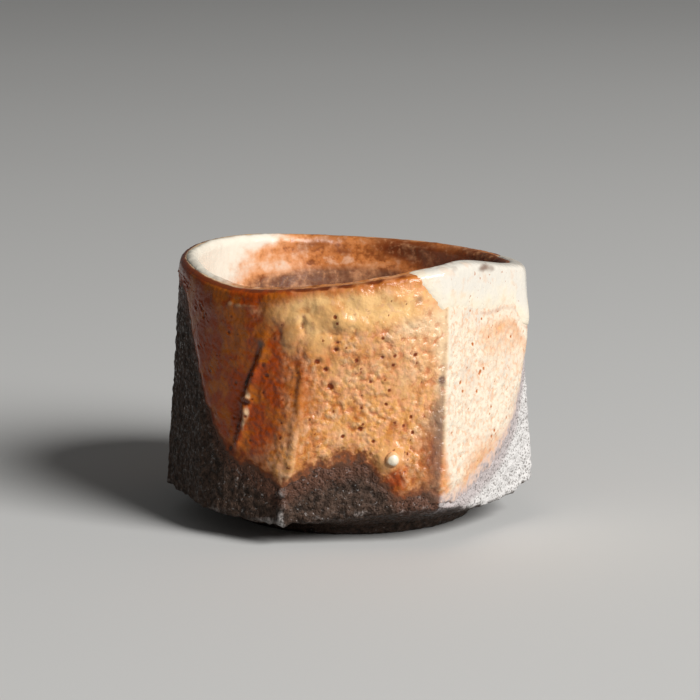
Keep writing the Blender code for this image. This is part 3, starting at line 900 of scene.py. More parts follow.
def feldspar_coat(survey, grid, sizes):
    """Thickness of the outer glaze on its grid, and its tints."""
    above, fade = feldspar_edge(survey, grid)
    full = ease(-0.4 * fade, 0.6 * fade, above)
    crest = ease(*LIP_TOP, grid.bend)
    wavy = 1.0 + 0.16 * lumps(grid.points, 6.0 * MM, 3)
    cover = around(GLAZE_COVER, grid.angles)[:, None]
    thick = sizes.glaze_thickness * cover * full * wavy * (1.0 - 0.55 * crest)
    thick = thick - sizes.tuck * ease(-0.1 * fade, -0.4 * fade, above)
    gold = patches(grid, GOLD_PATCHES)
    smooth = np.clip(gold, 0.0, 1.0)
    thick = thick + 0.55 * MM * smooth * lumps(grid.points, 3.0 * MM, 7) * (1.0 - crest)
    drops, swollen = domed(grid)
    pour_gap = survey.at(survey.pour_edge, grid.angles)[:, None] - grid.height
    rough = around(PEBBLED, grid.angles)[:, None] * (1.0 - 0.7 * np.maximum(smooth, swollen))
    rough = rough * (1.0 - 0.7 * crest) * (1.0 - 0.6 * hump(pour_gap, 0.0, 2.0 * MM))
    rough = rough * np.clip(0.85 + 0.6 * lumps(grid.points, 5.0 * MM, 6), 0.35, 1.0)
    knobs = pebbles(grid.points, 1.15 * sizes.pebble_size, 4) - 0.5
    pebbled = rough * (knobs + 0.3 * lumps(grid.points, 1.6 * sizes.pebble_size, 5))
    fold, seam = fold_relief(grid)
    grooves, sunk = creased(grid)
    holes, inside = pitted(grid, PITS + tuple(strewn_pits(survey, sizes.pinhole_count)))
    relief = drops + fold + keel_relief(grid) + holes + grooves + sizes.pebble_height * pebbled
    thick = thick + relief * full - 0.35 * MM * ease(-1.0 * MM, -2.4 * MM, pour_gap)
    end = ease(*OUTER_END, grid.bend)
    thick = thick * end - sizes.tuck * (1.0 - end)
    thick[:, 0] = thick[:, -1] = -sizes.tuck
    collar, lip_line, specks, inward = lip_marks(grid)
    aside, run = grid.beside(KEEL)
    # Painted shade, partly thin glaze: a dark line in the groove on the keel's left side.
    keel_shadow_and_thin_glaze = run * hump(aside, -0.25 * MM, 0.40 * MM)
    # Painted highlight: a pale strip along the keel's lit right side; below the white pour, real cream.
    keel_highlight_and_pour_cream = 0.35 * run * hump(aside, 0.75 * MM, 0.50 * MM) * ease(*KEEL_HIGHLIGHT, grid.height)
    keel_highlight_and_pour_cream = keel_highlight_and_pour_cream + 0.6 * ease(3.5 * MM, 0.0, pour_gap) * ease(*POUR_CREAM_BEGINS, grid.turn)
    hem = ease(*HEM_BEGINS, grid.turn) * ease(*HEM_ENDS, grid.turn) * hump(pour_gap, 0.0, 0.5 * MM)
    return thick, {
        "cream": patches(grid, CREAM_PATCHES) * (1.0 - hem) + keel_highlight_and_pour_cream + inward,
        "gold": gold * (1.0 - 0.9 * collar),
        # Tops of the drops painted paler: thick glaze and, in part, painted highlight.
        "drop": swollen,
        "amber": patches(grid, AMBER_PATCHES) + 1.1 * hem + 0.75 * collar * (1.0 - inward),
        # Rust where the glaze is thin over the iron clay and on the lip's burnt line; painted shade in the
        # creases between rolls of glaze and, in part, in the keel's groove.
        "rust_and_shade": patches(grid, RUST_PATCHES) + lip_line + 0.75 * sunk * full + 0.5 * keel_shadow_and_thin_glaze,
        "brink": 1.0 - ease(-0.5 * fade, 0.6 * fade, above),
        # 1 on the right facet, where the key light falls; there the glaze takes its paler copies, partly
        # painted light.
        "haze": right_side(grid),
        "smoke": corner_smoke(grid) + 0.05 * keel_shadow_and_thin_glaze + patches(grid, SMOKE_PATCHES),
        # Dark in the pits and in the fold's cut, partly iron showing through and partly painted shade; on
        # the lip, burnt specks.
        "pit": np.maximum(np.maximum(inside, 0.7 * seam) * full, 0.7 * specks),
        "rough": rough,
        # Painted shade in the creases between the pebbles and painted highlight on their tops, over the
        # glaze's own mottling.
        "pebble": 0.5 + rough * (knobs + 0.3 * lumps(grid.points, 0.9 * MM, 8)),
    }


# Materials

SILICATE_IOR = 1.5
BOUNCE = 0.36  # share of the floor's colour that the cup is lit by
SOFT = {"interpolation_type": "SMOOTHSTEP"}
MIX_A, MIX_B, MIX_COLOUR = 6, 7, 2  # a Mix node's colour sockets, whose names aren't unique


def node(tree, kind, inputs=None, output=0, **settings):
    """Adds a shader node with its settings and links, and gives back one of its outputs."""
    made = tree.nodes.new("ShaderNode" + kind)
    for key, value in settings.items():
        setattr(made, key, value)
    for key, value in (inputs or {}).items():
        if isinstance(value, bpy.types.NodeSocket):
            tree.links.new(value, made.inputs[key])
        else:
            made.inputs[key].default_value = value
    return made.outputs[output]


def start_material(name):
    """A new material with its node tree, its shader and its Object coordinates."""
    material = bpy.data.materials.new(name)
    material.use_nodes = True
    tree = material.node_tree
    place = node(tree, "TexCoord", output="Object")
    return material, tree, tree.nodes["Principled BSDF"], place


def drifting(tree, drift, shares):
    """Tints stored in the mesh, each with its own share of a noise added, so that its border wanders."""
    tints = {}
    for name, share in shares.items():
        stored = node(tree, "Attribute", output="Fac", attribute_name=name)
        tints[name] = node(tree, "Math", {0: drift, 1: share, 2: stored}, operation="MULTIPLY_ADD")
    return tints


def painted(tree, under, layers):
    """Colours laid over a first one: each covers up to its share where its value goes from low to high."""
    for value, low, high, share, shade in layers:
        cover = node(tree, "MapRange", {
            "Value": value, "From Min": low, "From Max": high, "To Min": 0.0, "To Max": share}, **SOFT)
        below, over = (c if isinstance(c, bpy.types.NodeSocket) else (*c, 1.0) for c in (under, shade))
        inputs = {"Factor": cover, MIX_A: below, MIX_B: over}
        under = node(tree, "Mix", inputs, MIX_COLOUR, data_type="RGBA")
    return under


def finish_material(tree, shader, base, roughness, height, depth):
    """Joins a colour, a roughness and a fine relief to the shader."""
    tree.links.new(base, shader.inputs["Base Color"])
    tree.links.new(roughness, shader.inputs["Roughness"])
    relief = node(tree, "Bump", {"Strength": 1.0, "Distance": depth, "Height": height})
    tree.links.new(relief, shader.inputs["Normal"])
    shader.inputs["IOR"].default_value = SILICATE_IOR


def bare_stoneware(colours):
    # Coarse iron stoneware, cut with a knife and fired bare: dull and gritty, dark in its pores, with
    # a glint on its quartz grains, stained beside the glaze and greyed where ash or wear has reached it.
    # Its pale colour is also painted light on the right facet, where the key light falls, and in part
    # painted highlight on the heel edge and on the block at the foot of the keel.
    material, tree, shader, place = start_material("bare coarse stoneware, knife cut")
    cloud = node(tree, "TexNoise", {"Vector": place, "Scale": 1 / (7.0 * MM), "Detail": 4.0})
    grain = node(tree, "TexNoise", {"Vector": place, "Scale": 1 / (1.1 * MM), "Detail": 3.0})
    pores = node(tree, "TexNoise", {"Vector": place, "Scale": 1 / (0.38 * MM), "Detail": 2.0})
    grit = node(tree, "TexNoise", {"Vector": place, "Scale": 1 / (0.7 * MM), "Detail": 2.0})
    grains = node(tree, "Math", {0: grain, 1: 0.8}, operation="MULTIPLY")
    drift = node(tree, "Math", {0: cloud, 1: 0.5, 2: grains}, operation="MULTIPLY_ADD")
    tints = drifting(tree, drift, {"ash_wear_and_light": 1.0, "plum": 0.6, "haze": 0.4})
    # Where the pale tint is high, the clay and its pores turn pale: wear, and painted light on the lit
    # right facet.
    pore = painted(tree, colours.clay_pore, ((tints["ash_wear_and_light"], 0.85, 1.45, 1.0, colours.clay_pale_pore),))
    base = painted(tree, colours.clay_pore, (
        (grain, 0.25, 0.70, 1.0, colours.clay_brown),
        (tints["plum"], 0.70, 1.30, 0.8, colours.clay_plum),
        (tints["ash_wear_and_light"], 0.85, 1.65, 1.0, colours.clay_pale),
        (tints["haze"], 0.50, 1.10, 0.8, colours.glaze_haze),
        (grit, 0.62, 0.74, 0.25, colours.clay_pale),
        (pores, 0.53, 0.64, 0.75, pore),
    ))
    dull = node(tree, "MapRange", {
        "Value": tints["plum"], "From Min": 0.70, "From Max": 1.30, "To Min": 0.72, "To Max": 0.50})
    glint = node(tree, "MapRange", {
        "Value": grit, "From Min": 0.50, "From Max": 0.64, "To Min": dull, "To Max": 0.20}, **SOFT)
    height = node(tree, "Math", {0: pores, 1: -0.5, 2: grain}, operation="MULTIPLY_ADD")
    finish_material(tree, shader, base, glint, height, 0.5 * MM)
    shader.inputs["Specular IOR Level"].default_value = 0.20
    return material


def feldspar_glaze(colours):
    # Feldspar glaze, dipped thick and fired with wood: a pebbled, half glossy glass, cream where it lies
    # thick, ochre and pink elsewhere, amber and rust where the iron clay shows through it. Part of its
    # colour is painted light: shade in its creases, pits and fold cut, between its pebbles and in the
    # keel's groove; highlight on its pebble and drop tops and along the keel and the front right ridge;
    # and paler copies on the right facet, where the key light falls.
    material, tree, shader, place = start_material("feldspar glaze, dipped and wood fired")
    upright = node(tree, "Mapping", {"Vector": place, "Scale": (1.0, 1.0, 0.7)})
    cloud = node(tree, "TexNoise", {"Vector": place, "Scale": 1 / (4.0 * MM), "Detail": 3.0})
    streak = node(tree, "TexNoise", {"Vector": upright, "Scale": 1 / (4.5 * MM), "Detail": 3.0})
    blotch = node(tree, "TexNoise", {
        "Vector": upright, "Scale": 1 / (2.0 * MM), "Detail": 5.0, "Roughness": 0.6})
    mottle = node(tree, "TexNoise", {"Vector": place, "Scale": 1 / (1.2 * MM), "Detail": 4.0})
    freckle = node(tree, "TexNoise", {"Vector": place, "Scale": 1 / (0.9 * MM), "Detail": 2.0})
    pebble = node(tree, "TexNoise", {"Vector": place, "Scale": 1 / (0.5 * MM), "Detail": 2.0})
    grain = node(tree, "TexNoise", {
        "Vector": place, "Scale": 1 / (0.8 * MM), "Detail": 5.0, "Roughness": 0.6})
    small = node(tree, "Math", {0: mottle, 1: 0.6}, operation="MULTIPLY")
    wander = node(tree, "Math", {0: cloud, 1: 0.5, 2: small}, operation="MULTIPLY_ADD")
    tints = drifting(tree, wander, {
        "cream": 1.0, "gold": 0.9, "amber": 1.0, "rust_and_shade": 1.0, "brink": 1.2, "smoke": 0.6,
        "pit": 0.0, "haze": 0.0, "pebble": 0.4, "rough": 0.0, "drop": 0.5})
    right = tints["haze"]
    amber = painted(tree, colours.glaze_amber, (
        (cloud, 0.46, 0.62, 0.75, colours.glaze_honey), (blotch, 0.48, 0.34, 0.30, colours.glaze_rust_and_shade)))
    gold = painted(tree, colours.glaze_gold, (
        (cloud, 0.50, 0.36, 0.45, colours.glaze_honey), (blotch, 0.47, 0.32, 0.30, colours.glaze_clove),
        (mottle, 0.52, 0.68, 0.45, colours.glaze_cream)))
    # On the right facet, where the key light falls, these colours turn to paler copies: partly its own
    # paler glaze, partly painted light.
    valley = painted(tree, colours.glaze_clove, ((right, 0.0, 1.0, 0.9, colours.glaze_blush),))
    pit = painted(tree, colours.glaze_pit, ((right, 0.0, 1.0, 1.0, colours.glaze_spark),))
    cream = painted(tree, colours.glaze_cream, ((right, 0.0, 1.0, 0.8, colours.glaze_milk),))
    speckled = painted(tree, colours.glaze_haze, ((grain, 0.47, 0.36, 0.7, colours.clay_pale_pore),))
    edge = painted(tree, colours.clay_pore, (
        (grain, 0.20, 0.50, 1.0, colours.glaze_bark), (right, 0.0, 1.0, 1.0, speckled)))
    border = painted(tree, colours.glaze_rust_and_shade, ((right, 0.0, 1.0, 1.0, colours.glaze_veil),))
    lilac = node(tree, "Math", {0: streak, 1: right}, operation="MULTIPLY")
    rosy = node(tree, "Math", {0: grain, 1: right}, operation="MULTIPLY")
    brink = node(tree, "Math", {0: freckle, 1: 0.7, 2: tints["brink"]}, operation="MULTIPLY_ADD")
    base = painted(tree, colours.glaze_peach, (
        (mottle, 0.42, 0.58, 1.0, colours.glaze_ochre),
        (streak, 0.48, 0.36, 0.55, colours.glaze_honey),
        (streak, 0.54, 0.70, 0.40, colours.glaze_cream),
        (blotch, 0.47, 0.32, 0.40, colours.glaze_clove),
        (blotch, 0.54, 0.72, 0.50, colours.glaze_cream),
        (tints["amber"], 0.70, 1.35, 1.0, amber),
        (tints["cream"], 0.72, 1.40, 1.0, cream),
        (lilac, 0.52, 0.68, 0.25, colours.glaze_haze),
        (rosy, 0.50, 0.63, 0.62, colours.glaze_blush),
        (tints["gold"], 0.62, 1.30, 0.90, gold),
        # Painted shade between the pebbles and painted highlight on their tops.
        (tints["pebble"], 0.62, 0.28, 0.48, valley),
        (tints["pebble"], 0.92, 1.16, 0.30, cream),
        (mottle, 0.54, 0.66, 0.22, valley),
        (freckle, 0.60, 0.76, 0.30, valley),
        (tints["drop"], 0.50, 1.20, 0.50, colours.glaze_ochre),
        (tints["rust_and_shade"], 0.85, 1.45, 0.95, colours.glaze_rust_and_shade),
        (brink, 1.21, 1.63, 0.85, border),
        (brink, 1.51, 1.88, 1.0, edge),
        (tints["smoke"], 0.45, 1.25, 0.95, colours.glaze_smoke),
        (tints["pit"], 0.20, 0.90, 1.0, pit),
    ))
    dull = node(tree, "MapRange", {
        "Value": brink, "From Min": 1.00, "From Max": 1.55, "To Min": 0.14, "To Max": 0.62}, **SOFT)
    roughness = node(tree, "Math", {0: mottle, 1: 0.12, 2: dull}, operation="MULTIPLY_ADD")
    fine = node(tree, "Math", {0: mottle, 1: 0.8, 2: pebble}, operation="MULTIPLY_ADD")
    coarse = node(tree, "MapRange", {"Value": tints["rough"], "To Min": 0.15, "To Max": 1.0})
    height = node(tree, "Math", {0: fine, 1: coarse}, operation="MULTIPLY")
    finish_material(tree, shader, base, roughness, height, 0.18 * MM)
    shader.inputs["Specular IOR Level"].default_value = 0.42
    return material


def liner_glaze(colours):
    # The same glaze poured round the well: glossier than outside, cream and orange in soft rings,
    # brown where it ran thin and grey where smoke lay in the well. Its cream on the left wall, which the
    # key light falls on, is partly painted light, and its brown and dark on the shaded right wall partly
    # painted shade.
    material, tree, shader, place = start_material("feldspar glaze, poured round the well")
    level = node(tree, "Mapping", {"Vector": place, "Scale": (1.0, 1.0, 2.4)})
    cloud = node(tree, "TexNoise", {
        "Vector": level, "Scale": 1 / (6.0 * MM), "Detail": 5.0, "Roughness": 0.6})
    mottle = node(tree, "TexNoise", {"Vector": place, "Scale": 1 / (1.8 * MM), "Detail": 4.0})
    fleck = node(tree, "TexNoise", {"Vector": place, "Scale": 1 / (0.9 * MM), "Detail": 3.0})
    small = node(tree, "Math", {0: mottle, 1: 0.7}, operation="MULTIPLY")
    wander = node(tree, "Math", {0: cloud, 1: 0.8, 2: small}, operation="MULTIPLY_ADD")
    tints = drifting(tree, wander, {"cream": 1.0, "brown": 1.0, "smoke": 0.7})
    base = painted(tree, colours.liner_orange, (
        (wander, 0.74, 0.54, 0.6, colours.liner_brown),
        (wander, 0.78, 0.96, 0.4, colours.liner_cream),
        (tints["brown"], 0.88, 1.50, 0.90, colours.liner_brown),
        (tints["brown"], 1.40, 1.90, 0.70, colours.liner_dark),
        (tints["smoke"], 0.66, 1.34, 0.85, colours.liner_smoke),
        (fleck, 0.52, 0.30, 0.35, colours.liner_brown),
        (fleck, 0.52, 0.78, 0.30, colours.glaze_peach),
        (tints["cream"], 0.70, 1.25, 0.80, colours.glaze_peach),
        (tints["cream"], 1.00, 1.70, 1.0, colours.liner_cream),
    ))
    roughness = node(tree, "Math", {0: mottle, 1: 0.20, 2: 0.28}, operation="MULTIPLY_ADD")
    finish_material(tree, shader, base, roughness, mottle, 0.16 * MM)
    return material


def white_glaze(colours):
    # Second, whiter glaze, ladled over one corner: thick, glossy and milky, cream and amber where it
    # thins, with a few smoky specks burnt through it.
    material, tree, shader, place = start_material("white glaze, ladled over the lip")
    cloud = node(tree, "TexNoise", {"Vector": place, "Scale": 1 / (2.5 * MM), "Detail": 4.0})
    pebble = node(tree, "TexNoise", {"Vector": place, "Scale": 1 / (1.0 * MM), "Detail": 3.0})
    tints = drifting(tree, cloud, {"thin": 0.7, "smoke": 0.8})
    base = painted(tree, colours.pour_white, (
        (tints["thin"], 0.40, 0.90, 1.0, colours.pour_cream),
        (tints["thin"], 1.00, 1.40, 0.8, colours.glaze_ochre),
        (cloud, 0.54, 0.68, 0.25, colours.glaze_blush),
        (pebble, 0.56, 0.76, 0.35, colours.pour_cream),
        (pebble, 0.34, 0.27, 0.60, colours.glaze_spark),
        (tints["smoke"], 0.70, 1.45, 0.9, colours.glaze_smoke),
    ))
    roughness = node(tree, "Math", {0: pebble, 1: 0.16, 2: 0.12}, operation="MULTIPLY_ADD")
    finish_material(tree, shader, base, roughness, pebble, 0.14 * MM)
    return material


def floor_paint(colours):
    # Matt painted board: even and dull, so that it shows nothing but the cup's shadow. Light that the
    # board throws back at the cup comes from a darker board, as from the edge of a table.
    material, tree, shader, place = start_material("matt painted board, sprayed")
    drift = node(tree, "TexNoise", {"Vector": place, "Scale": 1 / (400.0 * MM), "Detail": 2.0})
    seen = 0.0
    for ray in ("Is Camera Ray", "Is Glossy Ray", "Is Transmission Ray"):
        seen = node(tree, "Math", {0: node(tree, "LightPath", output=ray), 1: seen}, operation="ADD")
    pale = painted(tree, colours.floor, ((drift, 0.0, 1.0, 1.0, [0.96 * c for c in colours.floor]),))
    base = painted(tree, [BOUNCE * c for c in colours.floor], ((seen, 0.0, 1.0, 1.0, pale),))
    tree.links.new(base, shader.inputs["Base Color"])
    shader.inputs["Roughness"].default_value = 0.8
    return material


SURVEY = Survey()
MATERIALS = {}


def material_for(kind):
    """The material that a builder function makes, made once and shared."""
    if kind.__name__ not in MATERIALS:
        MATERIALS[kind.__name__] = kind(bpy.context.scene.sake_cup_colours)
    return MATERIALS[kind.__name__]


# Operators

FOOT_LET_IN = 0.8 * MM  # how far the foot ring reaches into the clay
POUR_UNDER = 0.30 * MM  # how far the pour's hidden back stands off the clay
DRIP_ANGLE = 352.5  # where the white pour runs down in a drip
SOFT_ANGLE = 311.0  # where its border fades most softly
BEAD_RADII = (0.95 * MM, 1.30 * MM, 1.35 * MM)  # outwards, along the wall and upwards
BEAD_SUNK = 0.42 * MM  # how far the bead lies back into the glaze
BEAD_PROUD = 0.55 * MM  # about how far it stands out past the middle of its solid
BEAD_LUMPS = (1.2 * MM, 0.22 * MM)  # their size and height
BEAD_TINT = 0.55  # how creamy its crown is
FLOOR_SIZE = 8.0  # metres
MIDDLE = Vector((0.0, 0.0, 23.3 * MM))  # the lamp and the camera stand round this place
SENSOR = 36.0  # millimetres


class SAKECUP_OT_clay_body(bpy.types.Operator):
    """Model the bare clay body with its grain, its worn heel and its ridges"""

    bl_idname = "sakecup.clay_body"
    bl_label = "Clay body"

    def execute(self, context):
        sizes = context.scene.sake_cup_sizes
        grid = clay_grid(SURVEY, all_round())
        outside = np.zeros(grid.height.shape)
        outside[:, UNDER_ROWS:UNDER_ROWS + HEEL_ROWS + SIDE_ROWS] = 1.0
        edge = SURVEY.at(SURVEY.glaze_edge, grid.angles)[:, None]
        heel = SURVEY.at(SURVEY.heel_height, grid.angles)[:, None]
        aside, _ = grid.beside(KEEL)
        right = right_side(grid)
        broken = 0.45 * lumps(grid.points, 2.4 * MM, 71) + 0.35 * lumps(grid.points, 6.0 * MM, 73)
        chips = MM * broken * hump(grid.height, heel, 1.6 * MM)
        points = grid.points + grid.normals * ((keel_relief(grid) + chips) * outside)[..., None]
        patchy = 0.6 + 0.8 * lumps(grid.points, 3.0 * MM, 72)
        ridge = ease(*KEEL_ASH, grid.height) * hump(aside, -0.15 * MM, 0.70 * MM)
        # The pale tint: wear on the heel edge and the keel's broken block, there partly painted highlight,
        # and painted light on the right facet, where the key light falls.
        ash_wear_and_light = 0.40 * hump(grid.height, heel, 1.0 * MM) * patchy + 0.62 * ridge * (0.3 + patchy)
        ash_wear_and_light = ash_wear_and_light + 0.95 * right * ease(heel - 0.8 * MM, heel + 0.4 * MM, grid.height)
        below = edge - grid.height
        plum = ease(9.0 * MM, 0.5 * MM, below) * (1.0 - right)
        haze = ease(6.5 * MM, 1.0 * MM, below) * right
        tints = {"ash_wear_and_light": ash_wear_and_light * outside, "plum": plum * outside, "haze": haze * outside}
        piece = skin("clay_body_bare", points, tints)
        settle(piece, 0.5, 2)
        roughen(piece, "CLOUDS", sizes.grain_size, 0.8 * sizes.grain_height)
        roughen(piece, "VORONOI", 1.5 * sizes.grain_size, -0.7 * sizes.grain_height)
        dress(piece, material_for(bare_stoneware), "clay_body")
        return {"FINISHED"}


class SAKECUP_OT_foot_ring(bpy.types.Operator):
    """Model the trimmed foot ring, let into the clay above it"""

    bl_idname = "sakecup.foot_ring"
    bl_label = "Foot ring"

    def execute(self, context):
        sizes = context.scene.sake_cup_sizes
        low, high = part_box("foot_ring")
        tree = solid_tree("foot_ring")
        foot = wall_hit(tree, FRONT, low.z + 0.1 * MM)
        inner = tree.ray_cast(Vector((0.0, 0.0, 1.0 * MM)), direction(FRONT))[0].xy.length
        top = high.z + FOOT_LET_IN
        # Profile of the ring, from its outer edge up, over and back down inside: (radius, height).
        corners = ((foot - 0.7 * MM, 0.0), (foot + 0.1 * MM, 0.4 * MM), (high.x - 0.2 * MM, top),
                   (inner + 0.1 * MM, top), (inner, 0.5 * MM), (inner + 0.5 * MM, 0.0))
        outline = np.array(corners + corners[:1])
        reach = np.concatenate([[0.0], np.cumsum(np.hypot(*np.diff(outline, axis=0).T))])
        share = np.linspace(0.0, reach[-1], FOOT_ROWS)
        radius, height = (np.tile(np.interp(share, reach, side), (FOOT_COLUMNS, 1)) for side in outline.T)
        points = polar(np.linspace(0.0, 360.0, FOOT_COLUMNS), radius, height)
        piece = skin("foot_ring_trimmed", points, {"ash_wear_and_light": 0.2 * ease(1.2 * MM, 0.0, height)})
        roughen(piece, "CLOUDS", sizes.grain_size, 0.7 * sizes.grain_height)
        for vertex in piece.data.vertices:
            vertex.co.z = max(vertex.co.z, low.z)
        dress(piece, material_for(bare_stoneware), "foot_ring")
        return {"FINISHED"}


class SAKECUP_OT_outer_glaze(bpy.types.Operator):
    """Model the outer glaze with its ragged edge, drops, fold, rib and pinholes"""

    bl_idname = "sakecup.outer_glaze"
    bl_label = "Outer glaze"

    def execute(self, context):
        sizes = context.scene.sake_cup_sizes
        angles = all_round()
        reach = (2.0 + 0.45 * around(EDGE_FADE, angles)) * MM
        heel = SURVEY.at(SURVEY.heel_height, angles)
        low = np.maximum(SURVEY.at(SURVEY.glaze_edge, angles) - reach, heel + 0.5 * MM)
        grid = wall_grid(SURVEY, angles, low, OUTER_WRAP, OUTER_ROWS)
        thickness, tints = feldspar_coat(SURVEY, grid, sizes)
        piece = coat("outer_glaze_dipped", grid, thickness, -sizes.tuck, tints)
        dress(piece, material_for(feldspar_glaze), "outer_glaze")
        return {"FINISHED"}


class SAKECUP_OT_inner_glaze(bpy.types.Operator):
    """Model the glaze that lines the well"""

    bl_idname = "sakecup.inner_glaze"
    bl_label = "Inner glaze"

    def execute(self, context):
        sizes = context.scene.sake_cup_sizes
        grid = well_grid(SURVEY, np.linspace(0.0, 360.0, LINER_COLUMNS), LINER_START, LINER_ROWS)
        start = ease(*LINER_BEGINS, grid.bend)
        thick = sizes.liner_thickness * (1.0 + 0.3 * lumps(grid.points, 5.0 * MM, 41)) * start
        thick[:, 0] = -sizes.tuck
        rings = lumps(grid.points * (0.4, 0.4, 1.0), 3.0 * MM, 42)
        tints = {
            "cream": patches(grid, WELL_CREAM) + 0.15 * rings,
            "brown": patches(grid, WELL_BROWN) + 0.30 * rings,
            "smoke": patches(grid, WELL_SMOKE),
        }
        piece = coat("inner_glaze_poured", grid, thick, -sizes.tuck, tints, under_rows=12)
        roughen(piece, "CLOUDS", 2.0 * sizes.pebble_size, 0.8 * sizes.pebble_height)
        dress(piece, material_for(liner_glaze), "inner_glaze")
        return {"FINISHED"}


class SAKECUP_OT_lip_pour(bpy.types.Operator):
    """Model the white pour over the right of the lip, with its rolled edge and its drip"""

    bl_idname = "sakecup.lip_pour"
    bl_label = "Lip pour"

    def execute(self, context):
        sizes = context.scene.sake_cup_sizes
        found = SURVEY.angles[SURVEY.pour_edge < SURVEY.crest_height + 2.0 * MM]
        ends = np.where(found < 180.0, found + 360.0, found)
        angles = np.linspace(ends.min(), ends.max(), POUR_COLUMNS)
        edge = SURVEY.at(SURVEY.pour_edge, angles)
        low = np.minimum(edge - 3.4 * MM, SURVEY.at(SURVEY.crest_height, angles) - 2.5 * MM)
        low = np.maximum(low, SURVEY.at(SURVEY.glaze_edge, angles) + 0.6 * MM)
        grid = wall_grid(SURVEY, angles, low, POUR_WRAP, POUR_ROWS)
        ragged = 0.5 * lumps(grid.points, 4.0 * MM, 51) + 0.25 * lumps(grid.points, 1.3 * MM, 54)
        above = grid.height - edge[:, None] + MM * ragged
        blunt = hump(grid.turn, DRIP_ANGLE, 8.0)
        soft = hump(grid.turn, SOFT_ANGLE, 19.0)
        reach = MM * (1.7 - 1.1 * blunt + 1.1 * soft)
        sides = ease(0.0, 2.0, grid.turn - angles[0]) * ease(0.0, 3.0, angles[-1] - grid.turn)
        share = ease(-reach, 0.6 * reach, above) * ease(*POUR_END, grid.bend) * sides
        base = sizes.glaze_thickness * (0.95 - 0.50 * ease(*LIP_TOP, grid.bend))
        drip = 0.18 * MM * hump(grid.turn, DRIP_ANGLE, 4.4) * ease(*DRIP_SWELL, grid.height)
        swell = ease(-0.4 * MM, 3.0 * MM, above)
        swell = swell + blunt * (np.sqrt(np.clip(above / (1.6 * MM), 0.0, 1.0)) - swell)
        wavy = 1.0 + 0.25 * lumps(grid.points, 3.5 * MM, 52)
        thick = base + (sizes.pour_thickness + drip) * swell * wavy
        thick = POUR_UNDER + (thick - POUR_UNDER) * share
        thick[:, 0] = thick[:, -1] = POUR_UNDER
        thick[0] = thick[-1] = POUR_UNDER
        hem = 0.55 * (1.0 - ease(-0.3 * MM, 0.9 * MM, above)) * (1.0 - 0.5 * blunt) * (1.0 - 0.8 * soft)
        specks = ease(0.30, 0.55, lumps(grid.points, 1.4 * MM, 53)) * ease(*POUR_SPECKS, grid.bend)
        tints = {
            "thin": hem + 0.45 * (1.0 - ease(0.5 * MM, 7.0 * MM, above)),
            "smoke": patches(grid, POUR_SMOKE) + 0.7 * specks,
        }
        piece = coat("lip_pour_white", grid, thick, POUR_UNDER, tints, under_rows=sum(POUR_ROWS))
        settle(piece, 0.5, 3)
        dress(piece, material_for(white_glaze), "lip_pour")
        return {"FINISHED"}


class SAKECUP_OT_glaze_bead(bpy.types.Operator):
    """Model the round bead of glaze on the front"""

    bl_idname = "sakecup.glaze_bead"
    bl_label = "Glaze bead"

    def execute(self, context):
        low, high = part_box("glaze_bead")
        middle = (low + high) / 2
        out = Vector((middle.x, middle.y, 0.0)).normalized()
        turn = math.atan2(out.y, out.x)
        bpy.ops.object.select_all(action="DESELECT")
        bpy.ops.mesh.primitive_uv_sphere_add(
            segments=48, ring_count=24, radius=1.0, location=middle - BEAD_SUNK * out,
            rotation=(0.0, 0.0, turn), scale=BEAD_RADII)
        piece = context.object
        piece.name = piece.data.name = "glaze_bead_round"
        bpy.ops.object.transform_apply(location=True, rotation=True, scale=True)
        thin = piece.data.attributes.new("thin", "FLOAT", "POINT")
        proud = np.array([(vertex.co - middle).dot(out) for vertex in piece.data.vertices]) / BEAD_PROUD
        thin.data.foreach_set("value", (BEAD_TINT + 0.45 * ease(0.75, 0.25, proud)).astype(np.float32))
        roughen(piece, "CLOUDS", *BEAD_LUMPS)
        bpy.ops.object.shade_smooth()
        dress(piece, material_for(white_glaze), "glaze_bead")
        return {"FINISHED"}


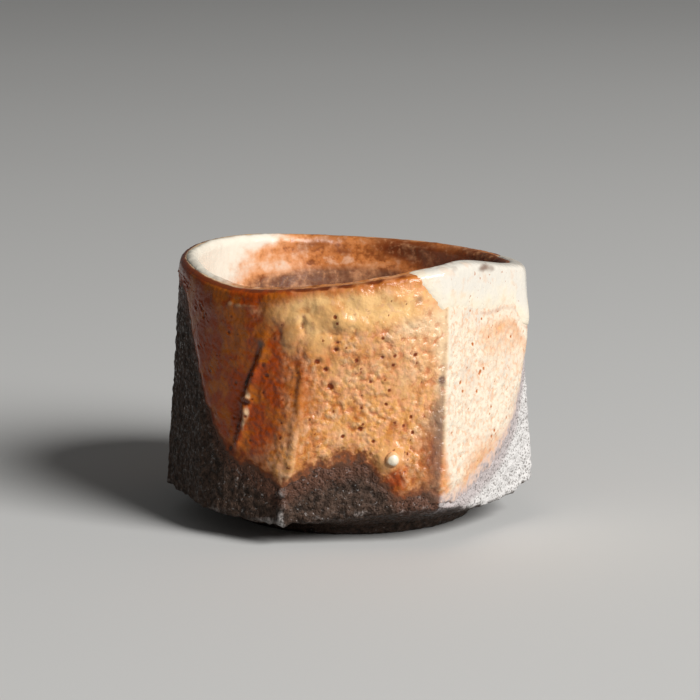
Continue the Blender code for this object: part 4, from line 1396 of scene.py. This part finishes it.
class SAKECUP_OT_stage(bpy.types.Operator):
    """Set up the floor, the light and the camera"""

    bl_idname = "sakecup.stage"
    bl_label = "Stage"

    def execute(self, context):
        stage = context.scene.sake_cup_stage
        bpy.ops.object.select_all(action="DESELECT")
        bpy.ops.mesh.primitive_plane_add(size=FLOOR_SIZE)
        floor = context.object
        floor.name = floor.data.name = "floor"
        floor.data.materials.append(material_for(floor_paint))
        toward = direction(math.degrees(stage.key_angle), math.degrees(stage.key_rise))
        bpy.ops.object.light_add(type="AREA", location=MIDDLE + toward * stage.key_distance)
        key = context.object
        key.name = key.data.name = "key_light"
        key.rotation_euler = (MIDDLE - key.location).to_track_quat("-Z", "Y").to_euler()
        key.data.shape = "DISK"
        key.data.size = stage.key_size
        key.data.energy = stage.key_power
        world = bpy.data.worlds.new("even studio light")
        world.use_nodes = True
        light = world.node_tree.nodes["Background"].inputs
        light["Color"].default_value = (1.0, 1.0, 1.0, 1.0)
        light["Strength"].default_value = stage.fill
        context.scene.world = world
        rise = math.degrees(stage.camera_rise)
        bpy.ops.object.camera_add(location=MIDDLE + direction(FRONT, rise) * stage.camera_distance)
        camera = context.object
        camera.name = camera.data.name = "photo_camera"
        camera.rotation_euler = (math.radians(90.0) - stage.camera_rise + stage.camera_lift, 0.0, 0.0)
        camera.data.sensor_width = SENSOR
        camera.data.lens = stage.lens
        context.scene.camera = camera
        context.scene.view_settings.view_transform = "Standard"
        return {"FINISHED"}


STEPS = (
    SAKECUP_OT_clay_body,
    SAKECUP_OT_foot_ring,
    SAKECUP_OT_outer_glaze,
    SAKECUP_OT_inner_glaze,
    SAKECUP_OT_lip_pour,
    SAKECUP_OT_glaze_bead,
    SAKECUP_OT_stage,
)

GROUPS = {
    "sake_cup_sizes": SakeCupSizes,
    "sake_cup_colours": SakeCupColours,
    "sake_cup_stage": SakeCupStage,
}


class SAKECUP_PT_steps(bpy.types.Panel):
    """Steps and values of the sake cup"""

    bl_idname = "SAKECUP_PT_steps"
    bl_label = "Sake cup"
    bl_space_type = "VIEW_3D"
    bl_region_type = "UI"
    bl_category = "Sake cup"

    def draw(self, context):
        for step in STEPS:
            self.layout.operator(step.bl_idname)
        for name, group in GROUPS.items():
            for value in group.__annotations__:
                self.layout.prop(getattr(context.scene, name), value)


def register():
    """Registers the classes and hangs the values on the scene."""
    for name, group in GROUPS.items():
        bpy.utils.register_class(group)
        setattr(bpy.types.Scene, name, bpy.props.PointerProperty(type=group))
    for step in (*STEPS, SAKECUP_PT_steps):
        bpy.utils.register_class(step)


def unregister():
    """Takes off what register put on."""
    for step in (SAKECUP_PT_steps, *reversed(STEPS)):
        bpy.utils.unregister_class(step)
    for name, group in GROUPS.items():
        delattr(bpy.types.Scene, name)
        bpy.utils.unregister_class(group)


def main():
    """Builds the cup and its stage."""
    register()
    bpy.ops.sakecup.clay_body()
    bpy.ops.sakecup.foot_ring()
    bpy.ops.sakecup.outer_glaze()
    bpy.ops.sakecup.inner_glaze()
    bpy.ops.sakecup.lip_pour()
    bpy.ops.sakecup.glaze_bead()
    bpy.ops.sakecup.stage()


if __name__ == "__main__":
    main()
